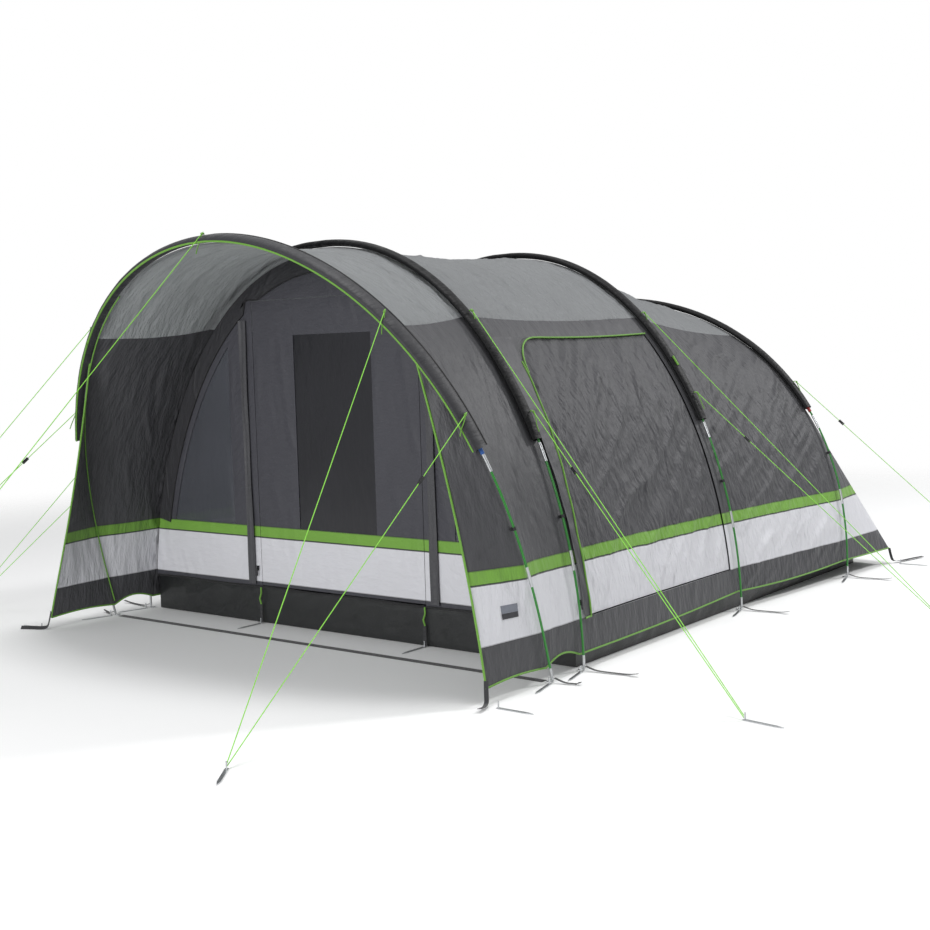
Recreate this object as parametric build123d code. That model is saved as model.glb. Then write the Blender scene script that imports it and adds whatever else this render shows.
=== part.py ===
"""Four-arch family tunnel tent: glass-fibre poles in sleeves, fly, doors, groundsheet, cabin and guy lines.

Millimetres. +Z is up, +Y runs from the open porch to the rear, X is the width. The origin is on the ground,
in the middle of the pitched tent without its guy lines.
"""
from build123d import *
from math import atan2, cos, degrees, hypot, pi, sin, sqrt
import os

os.makedirs("parts", exist_ok=True)

# ---------------------------------------------------------------- driving dimensions
PITCH_LENGTH = 4600.0        # front strap tails to rear strap tails
HALF_PITCH = PITCH_LENGTH / 2

# Each arch: where its feet stand, half the span, height, how far the crown leans along Y, and the two
# powers that give its shape (2 and 2 would be an ellipse).
PORCH_ARCH = dict(y=-1700.0, span=1500.0, height=1985.0, lean=-530.0, side=1.96, crown=2.57)
FRONT_ARCH = dict(y=-1450.0, span=1500.0, height=2000.0, lean=0.0, side=2.13, crown=1.90)
MIDDLE_ARCH = dict(y=130.0, span=1500.0, height=2000.0, lean=0.0, side=2.13, crown=1.90)
REAR_ARCH = dict(y=1350.0, span=1610.0, height=1750.0, lean=50.0, side=1.92, crown=2.38)
ARCHES = [PORCH_ARCH, FRONT_ARCH, MIDDLE_ARCH, REAR_ARCH]

# Heights on the fly
HEM = 100.0
SKIRT_TOP = 225.0
GREEN_LOW = 470.0
GREEN_HIGH = 530.0
SLEEVE_END = 1030.0
SEAMS = [1560.0, 1600.0, 1600.0, 1490.0]   # silver roof above, dark sides below, at each arch

# Fabric
CLOTH = 4.0                  # thickness of every fabric solid
POLE_TO_FLY = 20.0           # pole's centre line to the fly's outer face
SAG = 28.0                   # how far the fly draws in between two arches
PANEL_GAP = 2.0              # half the gap left at a sewn seam between two panels

# Poles
ROD_RADIUS = 5.5
ROD_BORE = 3.5
FULL_RODS_PER_ARCH = 9       # with a shorter rod at each foot
FIRST_JOINT = 497.0          # from the foot to the middle of the first ferrule
SHOCK_CORD_RADIUS = 1.25
FERRULE_RADIUS = 7.2
FERRULE_BORE = 6.2
FERRULE_LENGTH = 90.0
TIP_RADIUS = 6.5
TIP_LENGTH = 56.0
FOOT_CLEARANCE = 14.0        # lower end of a pole tip above the ground
SLEEVE_RADIUS = 17.0
SLEEVE_BORE = 15.5

# Front wall and its door
WALL_BACK = 25.0             # front wall's front face behind the front arch
WALL_INSET = 36.0
SILL = 200.0
DOOR_HALF = 575.0
DOOR_TOP = 1740.0
DOOR_GAP = 3.0
WINDOW_INSET = 170.0         # side windows' curved edge inside the front arch
WINDOW_INNER_X = 770.0
WINDOW_OVERLAP = 12.0
FILM = 1.5

# Side door in the living bay, on +X
SIDE_DOOR_FRONT = 100.0      # behind the front arch
SIDE_DOOR_REAR = 60.0        # in front of the middle arch
SIDE_DOOR_TOP = 1510.0
SIDE_EDGE_START = 40.0
SIDE_EDGE_WIDTH = 56.0
SIDE_EDGE_LIFT = 12.0        # edge flap's outer face inside the pole's centre line

# Ground parts
GROUNDSHEET_HALF = 1440.0
GROUNDSHEET_REAR = 1880.0
GROUNDSHEET_WALL = 120.0
STRAP_WIDTH = 25.0
STRAP = 1.6
GROUND_STRAP_WIDTH = 38.0
WING_CORNER = (1471.0, -2145.0)
REAR_CORNER = (1640.0, 1970.0)
REAR_CENTRE_Y = 2130.0
WING_TOP = 1435.0
WING_BOW = 26.0              # the wing's front edge is cut in a slight hollow
WING_DRAW = 1.07             # power by which the edge closes on the arch
CLIP_HEIGHTS = [690.0, 690.0, 700.0, 760.0]

# Sleeping cabin
CABIN_INSET = 130.0
CABIN_FRONT = 70.0           # behind the middle arch
CABIN_LOW = 135.0
CABIN_DOOR_HALF = 520.0
CABIN_DOOR_TOP = 1420.0

# Guy lines
GUY_RADIUS = 2.0
GUY_STANDOFF = 32.0          # line's start outside the pole's centre line
GUY_END_HEIGHT = 9.0
GUY_PAIR_STEP = 9.0
RUNNER_FROM_LOOP = 380.0
RUNNER = (14.0, 8.0, 38.0)
RUNNER_BORE = 2.3
PEG_LENGTH = 180.0
PEG_WIDTH = 14.0
PEG_THICKNESS = 3.0
PEG_POST_RADIUS = 3.0
PEG_POST_HEIGHT = 30.0


# ---------------------------------------------------------------- arch geometry
def offset_curve(arch, inset, steps=360):
    """Points from the right foot to the crown, moved inwards by inset in the arch's own plane."""
    slope = sqrt(1 + (arch["lean"] / arch["height"]) ** 2)
    plane_points = []
    for step in range(steps + 1):
        angle = pi / 2 * step / steps
        across = arch["span"] * max(cos(angle), 0.0) ** (2 / arch["side"])
        up = slope * arch["height"] * sin(angle) ** (2 / arch["crown"])
        plane_points.append((across, up))
    curve = []
    for i, (across, up) in enumerate(plane_points):
        before = plane_points[max(i - 1, 0)]
        after = plane_points[min(i + 1, steps)]
        run, rise = after[0] - before[0], after[1] - before[1]
        length = hypot(run, rise)
        normal = (0.0, 1.0) if i == steps else (rise / length, -run / length)
        across -= inset * normal[0]
        up -= inset * normal[1]
        height = up / slope
        curve.append((across, arch["y"] + arch["lean"] * height / arch["height"], height))
    return curve


def blend(a, b, share):
    return tuple(p + (q - p) * share for p, q in zip(a, b))


def at_height(curve, height):
    for a, b in zip(curve, curve[1:]):
        if a[2] <= height <= b[2]:
            return blend(a, b, (height - a[2]) / (b[2] - a[2]))
    return curve[-1] if height > curve[-1][2] else curve[0]


def at_width(curve, across):
    for a, b in zip(curve, curve[1:]):
        if b[0] <= across <= a[0]:
            return blend(a, b, (a[0] - across) / max(a[0] - b[0], 1e-9))
    return curve[-1]


def along(curve, distance):
    """Point at a distance from the foot, measured along the curve."""
    for a, b in zip(curve, curve[1:]):
        piece = hypot(b[0] - a[0], b[1] - a[1], b[2] - a[2])
        if distance <= piece:
            return blend(a, b, distance / piece)
        distance -= piece
    return curve[-1]


def curve_length(curve):
    return sum(hypot(b[0] - a[0], b[1] - a[1], b[2] - a[2]) for a, b in zip(curve, curve[1:]))


def length_to_height(curve, height):
    lower = [p for p in curve if p[2] < height]
    return curve_length(lower + [at_height(curve, height)])


def mirrored(points):
    return [(-x, y, z) for x, y, z in points]


def normal_at(arch, height):
    """Unit vector out of the arch, in its own plane, on the right leg."""
    outer = at_height(offset_curve(arch, 0.0), height)
    below = at_height(offset_curve(arch, 0.0), height - 5)
    above = at_height(offset_curve(arch, 0.0), height + 5)
    tangent = Vector(*above) - Vector(*below)
    plane_normal = Vector(0, arch["height"], -arch["lean"]).normalized()
    outward = tangent.cross(plane_normal).normalized()
    return Vector(*outer), outward if outward.X > 0 else outward * -1, tangent.normalized()


# ---------------------------------------------------------------- fabric solids
def cloth_solid(points, triangles, thickness=CLOTH):
    """Closed solid between the given outer face and the same face moved inwards by its own normals."""
    places = {}
    faces = []
    for triangle in triangles:
        keys = [tuple(round(value, 2) for value in points[corner]) for corner in triangle]
        if len(set(keys)) == 3:
            faces.append(tuple(places.setdefault(key, len(places)) for key in keys))
    outer = [Vector(*place) for place in places]
    normals = [Vector(0, 0, 0) for _ in outer]
    for a, b, c in faces:
        area_normal = (outer[b] - outer[a]).cross(outer[c] - outer[a])
        for corner in (a, b, c):
            normals[corner] += area_normal
    inner = [point - normal.normalized() * thickness for point, normal in zip(outer, normals)]
    shell = [(outer[a], outer[b], outer[c]) for a, b, c in faces]
    shell += [(inner[c], inner[b], inner[a]) for a, b, c in faces]
    edges = {(face[i], face[(i + 1) % 3]) for face in faces for i in range(3)}
    for a, b in edges:
        if (b, a) not in edges:
            shell.append((outer[b], outer[a], inner[a]))
            shell.append((outer[b], inner[a], inner[b]))
    made = [Face(Wire.make_polygon(corners, close=True)) for corners in shell]
    solid = Solid(Shell(made))
    return solid if solid.volume > 0 else Solid(Shell([-face for face in made]))


def grid_cloth(rows, skip=(), thickness=CLOTH):
    """Fabric over a grid of points. Rows run along +Y and points in a row run up from the right hem."""
    width = len(rows[0])
    points = [point for row in rows for point in row]
    triangles = []
    for r in range(len(rows) - 1):
        for c in range(width - 1):
            if (r, c) in skip:
                continue
            a, b = r * width + c, (r + 1) * width + c
            triangles += [(a, b, b + 1), (a, b + 1, a + 1)]
    return cloth_solid(points, triangles, thickness)


def flipped(rows):
    """The same grid on the left side, with its faces still outwards."""
    return [mirrored(row) for row in reversed(rows)]


def drawn_in(point, share, low=HEM):
    """A point of the fly between two arches, drawn towards the tunnel's axis by the fabric's tension."""
    x, y, z = point
    ease = min(1.0, max(0.0, (z - low) / 600.0))
    depth = SAG * 4 * share * (1 - share) * ease
    reach = hypot(x, z - 700.0)
    return (x - depth * x / reach, y, z - depth * (z - 700.0) / reach)


def leg_row(arch_a, arch_b, share, heights_a, heights_b, inset=POLE_TO_FLY):
    """Right-hand leg of the fly at a share of the way between two arches."""
    curve_a, curve_b = offset_curve(arch_a, inset), offset_curve(arch_b, inset)
    row = []
    for low, high in zip(heights_a, heights_b):
        point = blend(at_height(curve_a, low), at_height(curve_b, high), share)
        row.append(drawn_in(point, share))
    return row


def crown_row(arch_a, arch_b, share, seam_a, seam_b, columns=14, inset=POLE_TO_FLY):
    curve_a, curve_b = offset_curve(arch_a, inset), offset_curve(arch_b, inset)
    edge_a, edge_b = at_height(curve_a, seam_a)[0], at_height(curve_b, seam_b)[0]
    row = []
    for column in range(columns + 1):
        side = cos(pi * column / columns)
        a = at_width(curve_a, abs(side) * edge_a)
        b = at_width(curve_b, abs(side) * edge_b)
        x, y, z = drawn_in(blend(a, b, share), share)
        row.append((x if side >= 0 else -x, y, z))
    return row


def side_heights(seam):
    """Heights of a side panel's points, with one at each band's edge."""
    top = seam - PANEL_GAP
    return [HEM, SKIRT_TOP, GREEN_LOW, GREEN_HIGH, 760.0, 990.0, 1200.0, WING_TOP, top]


def shares(count, gap=0.004):
    """Even shares from one arch to the next, with a small gap at each arch."""
    return [min(max(i / count, gap), 1 - gap) for i in range(count + 1)]


# ---------------------------------------------------------------- poles
def round_bar(start, middle, end, radius, bore=0.0):
    path = ThreePointArc(start, middle, end)
    section = Circle(radius) - Circle(bore) if bore else Circle(radius)
    return sweep(Plane(origin=path @ 0, z_dir=path % 0) * section, path=path).solid()


def on_arch(curve, half, distance):
    """Point at a distance along the whole arch, from the right foot over the crown to the left one."""
    if distance <= half:
        return along(curve, distance)
    x, y, z = along(curve, 2 * half - distance)
    return (-x, y, z)


def make_poles():
    ferrules, shock_cords = [], []
    for number, arch in enumerate(ARCHES, 1):
        curve = offset_curve(arch, 0.0)
        half = curve_length(curve)
        start = FOOT_CLEARANCE + TIP_LENGTH + 0.5
        step = (2 * half - 2 * FIRST_JOINT) / FULL_RODS_PER_ARCH
        joints = [FIRST_JOINT + step * i for i in range(FULL_RODS_PER_ARCH + 1)]
        stations = [start] + joints + [2 * half - start]
        rods = []
        for low, high in zip(stations, stations[1:]):
            ends = [on_arch(curve, half, place) for place in (low, (low + high) / 2, high)]
            rods.append(round_bar(*ends, ROD_RADIUS, ROD_BORE))
            shock_cords.append(round_bar(*ends, SHOCK_CORD_RADIUS))
        for joint in joints:
            reach = FERRULE_LENGTH / 2
            ends = [on_arch(curve, half, joint + offset) for offset in (-reach, 0, reach)]
            ferrules.append(round_bar(*ends, FERRULE_RADIUS, FERRULE_BORE))
        save(f"arch_{number}_rods", rods)
    save("pole_ferrules", ferrules)
    save("shock_cords", shock_cords)


def foot_frame(arch, side):
    """Plane on the ground at a pole's foot, with Z up along the pole."""
    curve = offset_curve(arch, 0.0)
    low, high = Vector(*curve[0]), Vector(*at_height(curve, FOOT_CLEARANCE + TIP_LENGTH))
    lean = (high - low).normalized()
    if side < 0:
        low, lean = Vector(-low.X, low.Y, low.Z), Vector(-lean.X, lean.Y, lean.Z)
    return Plane(origin=low, x_dir=(0, 1, 0), z_dir=lean)


def make_feet():
    tips, pins = [], []
    bottom = (Align.CENTER, Align.CENTER, Align.MIN)
    for arch in ARCHES:
        for side in (1, -1):
            frame = foot_frame(arch, side)
            tip = Pos(0, 0, FOOT_CLEARANCE) * Cylinder(TIP_RADIUS, TIP_LENGTH, align=bottom)
            tip -= Pos(0, 0, FOOT_CLEARANCE) * Cylinder(3.4, TIP_LENGTH - 8, align=bottom)
            tips.append((frame * tip).solid())
            pin = Pos(0, 0, 5) * Cylinder(3.0, TIP_LENGTH - 4, align=bottom)
            x, y = side * arch["span"], arch["y"]
            ring = Pos(x - side * 14, y, STRAP + 2.9) * Torus(14, 2.5)
            pins.append((frame * pin + ring).solid())
    save("pole_tips", tips)
    save("ring_pins", pins)


def make_sleeves():
    for number, arch in enumerate(ARCHES, 1):
        curve = offset_curve(arch, 0.0)
        stops = 7
        half, low = curve_length(curve), length_to_height(curve, SLEEVE_END)
        corners = [along(curve, half - (half - low) * i / stops) for i in range(stops + 1)]
        tangent = Vector(1, 0, 0)
        arcs = []
        for a, b in zip(corners, corners[1:]):
            arcs.append(TangentArc(a, b, tangent=tangent))
            tangent = arcs[-1] % 1
        path = Wire(arcs)
        section = Plane(origin=path @ 0, z_dir=path % 0) * (Circle(SLEEVE_RADIUS) - Circle(SLEEVE_BORE))
        right = sweep(section, path=path).solid()
        save(f"pole_sleeve_{number}", [(right + mirror(right, about=Plane.YZ)).solid()])


def make_clips():
    clips = []
    for arch, height in zip(ARCHES, CLIP_HEIGHTS):
        centre, outward, tangent = normal_at(arch, height)
        frame = Plane(origin=centre, x_dir=outward, z_dir=tangent)
        clip = Cylinder(9.0, 14) - Cylinder(ROD_RADIUS + 0.4, 14)
        clip += Pos(-13.0, 0, 0) * Box(9.5, 12, 14)
        clip -= Cylinder(ROD_RADIUS + 0.4, 14)
        right = (frame * clip).solid()
        clips += [right, mirror(right, about=Plane.YZ)]
    save("pole_clips", clips)


# ---------------------------------------------------------------- fly
def make_porch():
    heights_porch, heights_front = side_heights(SEAMS[0]), side_heights(SEAMS[1])
    corner_x, corner_y = WING_CORNER
    arch_row = leg_row(PORCH_ARCH, PORCH_ARCH, 0.0, heights_porch, heights_porch)
    meeting = arch_row[7]
    edge_row = []
    for point in arch_row[:8]:
        share = (point[2] - HEM) / (WING_TOP - HEM)
        bow = WING_BOW * sin(pi * share)
        x = corner_x + (meeting[0] - corner_x) * share ** WING_DRAW
        y = corner_y + (meeting[1] - corner_y) * share + bow
        edge_row.append((x, y, point[2]))
    edge_row[7] = meeting
    edge_row.append(arch_row[8])
    middle_row = [blend(a, b, 0.5) for a, b in zip(edge_row, arch_row)]
    rows = [edge_row, middle_row, arch_row]
    for share in (0.5, 0.99):
        rows.append(leg_row(PORCH_ARCH, FRONT_ARCH, share, heights_porch, heights_front))
    save("porch_side_right", [grid_cloth(rows)])
    save("porch_side_left", [grid_cloth(flipped(rows))])
    seams = (SEAMS[0] + PANEL_GAP, SEAMS[1] + PANEL_GAP)
    roof = [crown_row(PORCH_ARCH, FRONT_ARCH, share, *seams) for share in shares(4)]
    save("porch_roof", [grid_cloth(roof)])


def make_living_bay():
    heights = side_heights(SEAMS[1])
    low, high = SKIRT_TOP, SIDE_DOOR_TOP
    bay = MIDDLE_ARCH["y"] - FRONT_ARCH["y"]
    plain = [leg_row(FRONT_ARCH, MIDDLE_ARCH, share, heights, heights) for share in shares(6)]
    save("living_side_left", [grid_cloth(flipped(plain))])

    levels = heights[:-1] + [high, heights[-1]]
    first, last = SIDE_DOOR_FRONT / bay, 1 - SIDE_DOOR_REAR / bay
    stations = [0.002, first] + [first + (last - first) * i / 4 for i in (1, 2, 3)] + [last, 0.998]
    rows = [leg_row(FRONT_ARCH, MIDDLE_ARCH, share, levels, levels) for share in stations]
    column_low, column_high = levels.index(low), levels.index(high)
    doorway = [(r, c) for r in range(1, len(rows) - 2) for c in range(column_low, column_high)]
    save("living_side_right", [grid_cloth(rows, skip=doorway)])

    inner = 4.0 / bay
    stations = [first + inner] + [first + (last - first) * i / 4 for i in (1, 2, 3)] + [last - inner]
    door_levels = [low + 4.0] + levels[column_low + 1:column_high] + [high - 4.0]
    door = [leg_row(FRONT_ARCH, MIDDLE_ARCH, share, door_levels, door_levels) for share in stations]
    save("side_door", [grid_cloth(door)])

    start = SIDE_EDGE_START / bay
    end = (SIDE_EDGE_START + SIDE_EDGE_WIDTH) / bay
    curve = offset_curve(FRONT_ARCH, SIDE_EDGE_LIFT)
    flap = []
    for share in (start, end):
        flap.append([(x, FRONT_ARCH["y"] + share * bay, z) for x, y, z in
                     [at_height(curve, level) for level in door_levels]])
    save("side_door_edge", [grid_cloth(flap, thickness=3.0)])

    roof = [crown_row(FRONT_ARCH, MIDDLE_ARCH, share, SEAMS[1] + PANEL_GAP, SEAMS[2] + PANEL_GAP)
            for share in shares(5)]
    save("living_roof", [grid_cloth(roof)])


def make_sleeping_bay():
    low, high = side_heights(SEAMS[2]), side_heights(SEAMS[3])
    rows = [leg_row(MIDDLE_ARCH, REAR_ARCH, share, low, high) for share in shares(5)]
    save("sleeping_side_right", [grid_cloth(rows)])
    save("sleeping_side_left", [grid_cloth(flipped(rows))])
    roof = [crown_row(MIDDLE_ARCH, REAR_ARCH, share, SEAMS[2] + PANEL_GAP, SEAMS[3] + PANEL_GAP)
            for share in shares(5)]
    save("sleeping_roof", [grid_cloth(roof)])


def make_rear_wall():
    """Tail of the fly: triangular flanks from the rear arch to two corners, and the sloping rear wall."""
    curve = offset_curve(REAR_ARCH, POLE_TO_FLY)
    gap = 3.0
    corner_x, corner_y = REAR_CORNER
    legs = [at_height(curve, z) for z in (HEM, SKIRT_TOP, GREEN_LOW, GREEN_HIGH, 760.0, SLEEVE_END)]
    legs = [(x, y + gap, z) for x, y, z in legs]
    edge = legs[-1]
    across = 8
    top = []
    for i in range(across + 1):
        side = cos(pi * i / across)
        x, y, z = at_width(curve, abs(side) * edge[0])
        top.append((x if side >= 0 else -x, y + gap, z))
    hem = []
    for i in range(across + 1):
        side = cos(pi * i / across)
        hem.append((side * corner_x, REAR_CENTRE_Y + (corner_y - REAR_CENTRE_Y) * side ** 2, HEM))
    levels = [(z - HEM) / (SLEEVE_END - HEM) for z in (HEM, SKIRT_TOP, GREEN_LOW, GREEN_HIGH, 760.0)]
    points, triangles = [], []

    def point(p):
        points.append(p)
        return len(points) - 1

    ridge = [blend(hem[0], edge, level) for level in levels]
    for side in (1, -1):
        for i in range(len(legs) - 1):
            a, b = legs[i], legs[i + 1]
            c = ridge[i]
            d = ridge[i + 1] if i + 1 < len(ridge) else edge
            quad = [point((side * p[0], p[1], p[2])) for p in (a, c, d, b)]
            flank = [(quad[0], quad[1], quad[2]), (quad[0], quad[2], quad[3])]
            triangles += flank if side > 0 else [(p, r, q) for p, q, r in flank]
    rises = levels + [1.0]
    for low, high in zip(rises, rises[1:]):
        for i in range(across):
            corners = [blend(hem[i], top[i], low), blend(hem[i + 1], top[i + 1], low),
                       blend(hem[i + 1], top[i + 1], high), blend(hem[i], top[i], high)]
            quad = [point(p) for p in corners]
            triangles += [(quad[0], quad[1], quad[2]), (quad[0], quad[2], quad[3])]
    save("rear_wall", [cloth_solid(points, triangles)])


# ---------------------------------------------------------------- front wall, windows, doors
def upright(points, y, thickness):
    """Plate standing across the tent: an outline of (x, z) points, its front face at y."""
    upright_plane = Plane(origin=(0, y, 0), x_dir=(1, 0, 0), z_dir=(0, -1, 0))
    outline = upright_plane * make_face(Polyline(*points, close=True))
    return extrude(outline, amount=-thickness)


def rectangle(left, right, low, high):
    return [(left, low), (right, low), (right, high), (left, high)]


def arch_outline(arch, inset, low, count=12):
    curve = offset_curve(arch, inset)
    start, half = length_to_height(curve, low), curve_length(curve)
    right = [along(curve, start + (half - start) * i / count) for i in range(count + 1)]
    points = [(x, z) for x, y, z in right]
    return points + [(-x, z) for x, z in reversed(points[:-1])]


def window_outline(side, grow):
    """Side window: straight inner edge, curved outer edge that follows the front arch."""
    curve = offset_curve(FRONT_ARCH, WINDOW_INSET - grow)
    low = GREEN_HIGH - grow
    inner = WINDOW_INNER_X - grow
    high = at_width(curve, inner)[2]
    steps = 6
    outer = [at_height(curve, low + (high - low) * i / steps) for i in range(steps + 1)]
    return [(side * inner, low)] + [(side * x, z) for x, y, z in outer]


def make_front_wall():
    face = FRONT_ARCH["y"] + WALL_BACK
    wall = upright(arch_outline(FRONT_ARCH, WALL_INSET, SILL + 3), face, CLOTH)
    wall -= upright(rectangle(-DOOR_HALF, DOOR_HALF, 0, DOOR_TOP), face, CLOTH)
    films = []
    for side in (1, -1):
        wall -= upright(window_outline(side, 0), face, CLOTH)
        films.append(upright(window_outline(side, WINDOW_OVERLAP), face + CLOTH + 0.5, FILM).solid())
    save("front_wall", wall.solids())
    save("window_right", [films[0]])
    save("window_left", [films[1]])

    edge = DOOR_HALF - DOOR_GAP
    door = upright(rectangle(-edge, edge, SILL + 8, DOOR_TOP - DOOR_GAP), face, CLOTH)
    pane = rectangle(-270, 270, GREEN_HIGH, 1550)
    door -= upright(pane, face, CLOTH)
    save("front_door", [door.solid()])
    film = rectangle(-282, 282, GREEN_HIGH - WINDOW_OVERLAP, 1550 + WINDOW_OVERLAP)
    save("front_door_window", [upright(film, face + CLOTH + 0.5, FILM).solid()])

    flap_low, flap_high = SILL + 10, DOOR_TOP + 10
    flaps = [upright(rectangle(side * 640 - 22, side * 640 + 22, flap_low, flap_high), face - 14, 3.0).solid()
             for side in (1, -1)]
    save("front_door_flaps", flaps)
    slider = Pos(-DOOR_HALF - 22, face - 9, 300) * Box(11, 6, 26)
    slider += Pos(-DOOR_HALF - 22, face - 14, 278) * Box(7, 2.5, 40)
    slider += Pos(-DOOR_HALF - 22, face - 12.5, 290) * Box(5, 4, 6)
    save("front_zip_slider", [slider.solid()])


def zip_circle():
    """Centre and radius of the circle that the side door's zip follows in the XZ plane."""
    curve = offset_curve(FRONT_ARCH, SIDE_EDGE_LIFT)
    (x1, _, z1), (x2, _, z2), (x3, _, z3) = [at_height(curve, z) for z in (300.0, 780.0, 1240.0)]
    d = 2 * (x1 * (z2 - z3) + x2 * (z3 - z1) + x3 * (z1 - z2))
    s1, s2, s3 = x1 ** 2 + z1 ** 2, x2 ** 2 + z2 ** 2, x3 ** 2 + z3 ** 2
    centre_x = (s1 * (z2 - z3) + s2 * (z3 - z1) + s3 * (z1 - z2)) / d
    centre_z = (s1 * (x3 - x2) + s2 * (x1 - x3) + s3 * (x2 - x1)) / d
    return centre_x, centre_z, hypot(x1 - centre_x, z1 - centre_z)


def make_side_zip_slider():
    centre_x, centre_z, radius = zip_circle()
    start = -degrees(atan2(centre_z - 300.0, sqrt(radius ** 2 - (centre_z - 300.0) ** 2)))
    y = FRONT_ARCH["y"] + 29.0
    slider = Box(6, 10, 24)
    slider += Pos(4.0, 0, -14) * Box(2.5, 7, 36)
    slider = Rot(0, -start, 0) * (Pos(radius + 2.0, 0, 0) * slider)
    save("side_zip_slider", [(Pos(centre_x, y, centre_z) * slider).solid()])
    print("side zip circle", round(centre_x, 2), round(centre_z, 2), round(radius, 2), round(start, 3))


# ---------------------------------------------------------------- ground parts
def make_groundsheet():
    front = FRONT_ARCH["y"] + WALL_BACK
    length = GROUNDSHEET_REAR - front
    corner = (Align.CENTER, Align.MIN, Align.MIN)
    tray = Pos(0, front, 0) * Box(2 * GROUNDSHEET_HALF, length, GROUNDSHEET_WALL, align=corner)
    inner = Box(2 * (GROUNDSHEET_HALF - CLOTH), length - 2 * CLOTH, GROUNDSHEET_WALL, align=corner)
    tray -= Pos(0, front + CLOTH, CLOTH) * inner
    tray += Pos(0, front, 0) * Box(2 * GROUNDSHEET_HALF, CLOTH, SILL, align=corner)
    save("groundsheet", [tray.solid()])


def flat_peg():
    """Steel ground peg lying flat along +X, with an upright hook at its head."""
    half = PEG_WIDTH / 2
    plan = [(0, -half), (PEG_LENGTH - 35, -half), (PEG_LENGTH, 0), (PEG_LENGTH - 35, half), (0, half)]
    peg = extrude(make_face(Polyline(*plan, close=True)), amount=PEG_THICKNESS)
    post = Cylinder(PEG_POST_RADIUS, PEG_POST_HEIGHT, align=(Align.CENTER, Align.CENTER, Align.MIN))
    return peg + Pos(8, 0, 0) * post


def strap(start, end, low=0.0, width=STRAP_WIDTH, thickness=STRAP):
    """Flat webbing from one plan point to another, lying at a height."""
    run = Vector(end[0] - start[0], end[1] - start[1], 0)
    frame = Plane(origin=(start[0], start[1], low), x_dir=run, z_dir=(0, 0, 1))
    box = Box(run.length, width, thickness, align=(Align.MIN, Align.CENTER, Align.MIN))
    return (frame * box).solid()


def hanging_strap(x, y, top):
    standing = (Align.CENTER, Align.CENTER, Align.MIN)
    return (Pos(x, y, 0) * Box(STRAP, STRAP_WIDTH, top, align=standing)).solid()


def make_straps_and_pegs():
    straps, pegs = [], []
    for arch in ARCHES:
        for side in (1, -1):
            x, y = side * arch["span"], arch["y"]
            straps.append(strap((x - side * 34, y), (x + side * 240, y + 20)))
            peg = Plane(origin=(x + side * 2, y - 26, 0), x_dir=(side * 0.25, -1, 0), z_dir=(0, 0, 1))
            pegs.append((peg * flat_peg()).solid())
    for side in (1, -1):
        for (x, y), end_y, turn in ((WING_CORNER, -HALF_PITCH, -1), (REAR_CORNER, HALF_PITCH, 1)):
            foot = (side * (x + 14), y + turn * 14)
            straps.append(hanging_strap(foot[0], foot[1], HEM - 12))
            straps.append(strap((foot[0] + side * 16, foot[1]), (foot[0] + side * 34, end_y)))
            peg = Plane(origin=(foot[0] + side * 52, foot[1], 0), x_dir=(side, 0, 0), z_dir=(0, 0, 1))
            pegs.append((peg * flat_peg()).solid())
        sill_x = side * DOOR_HALF
        sill_strap = Box(STRAP_WIDTH, STRAP, SILL, align=(Align.CENTER, Align.CENTER, Align.MIN))
        straps.append((Pos(sill_x, FRONT_ARCH["y"] + WALL_BACK - 4, 0) * sill_strap).solid())
        peg = Plane(origin=(sill_x, FRONT_ARCH["y"] + WALL_BACK - 16, 0), x_dir=(0, -1, 0), z_dir=(0, 0, 1))
        pegs.append((peg * flat_peg()).solid())
    save("peg_straps", straps)
    save("wall_pegs", pegs)
    reach = PORCH_ARCH["span"] - 44
    ends = ((-reach, PORCH_ARCH["y"]), (reach, PORCH_ARCH["y"]))
    save("front_ground_strap", [strap(*ends, width=GROUND_STRAP_WIDTH)])


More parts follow.
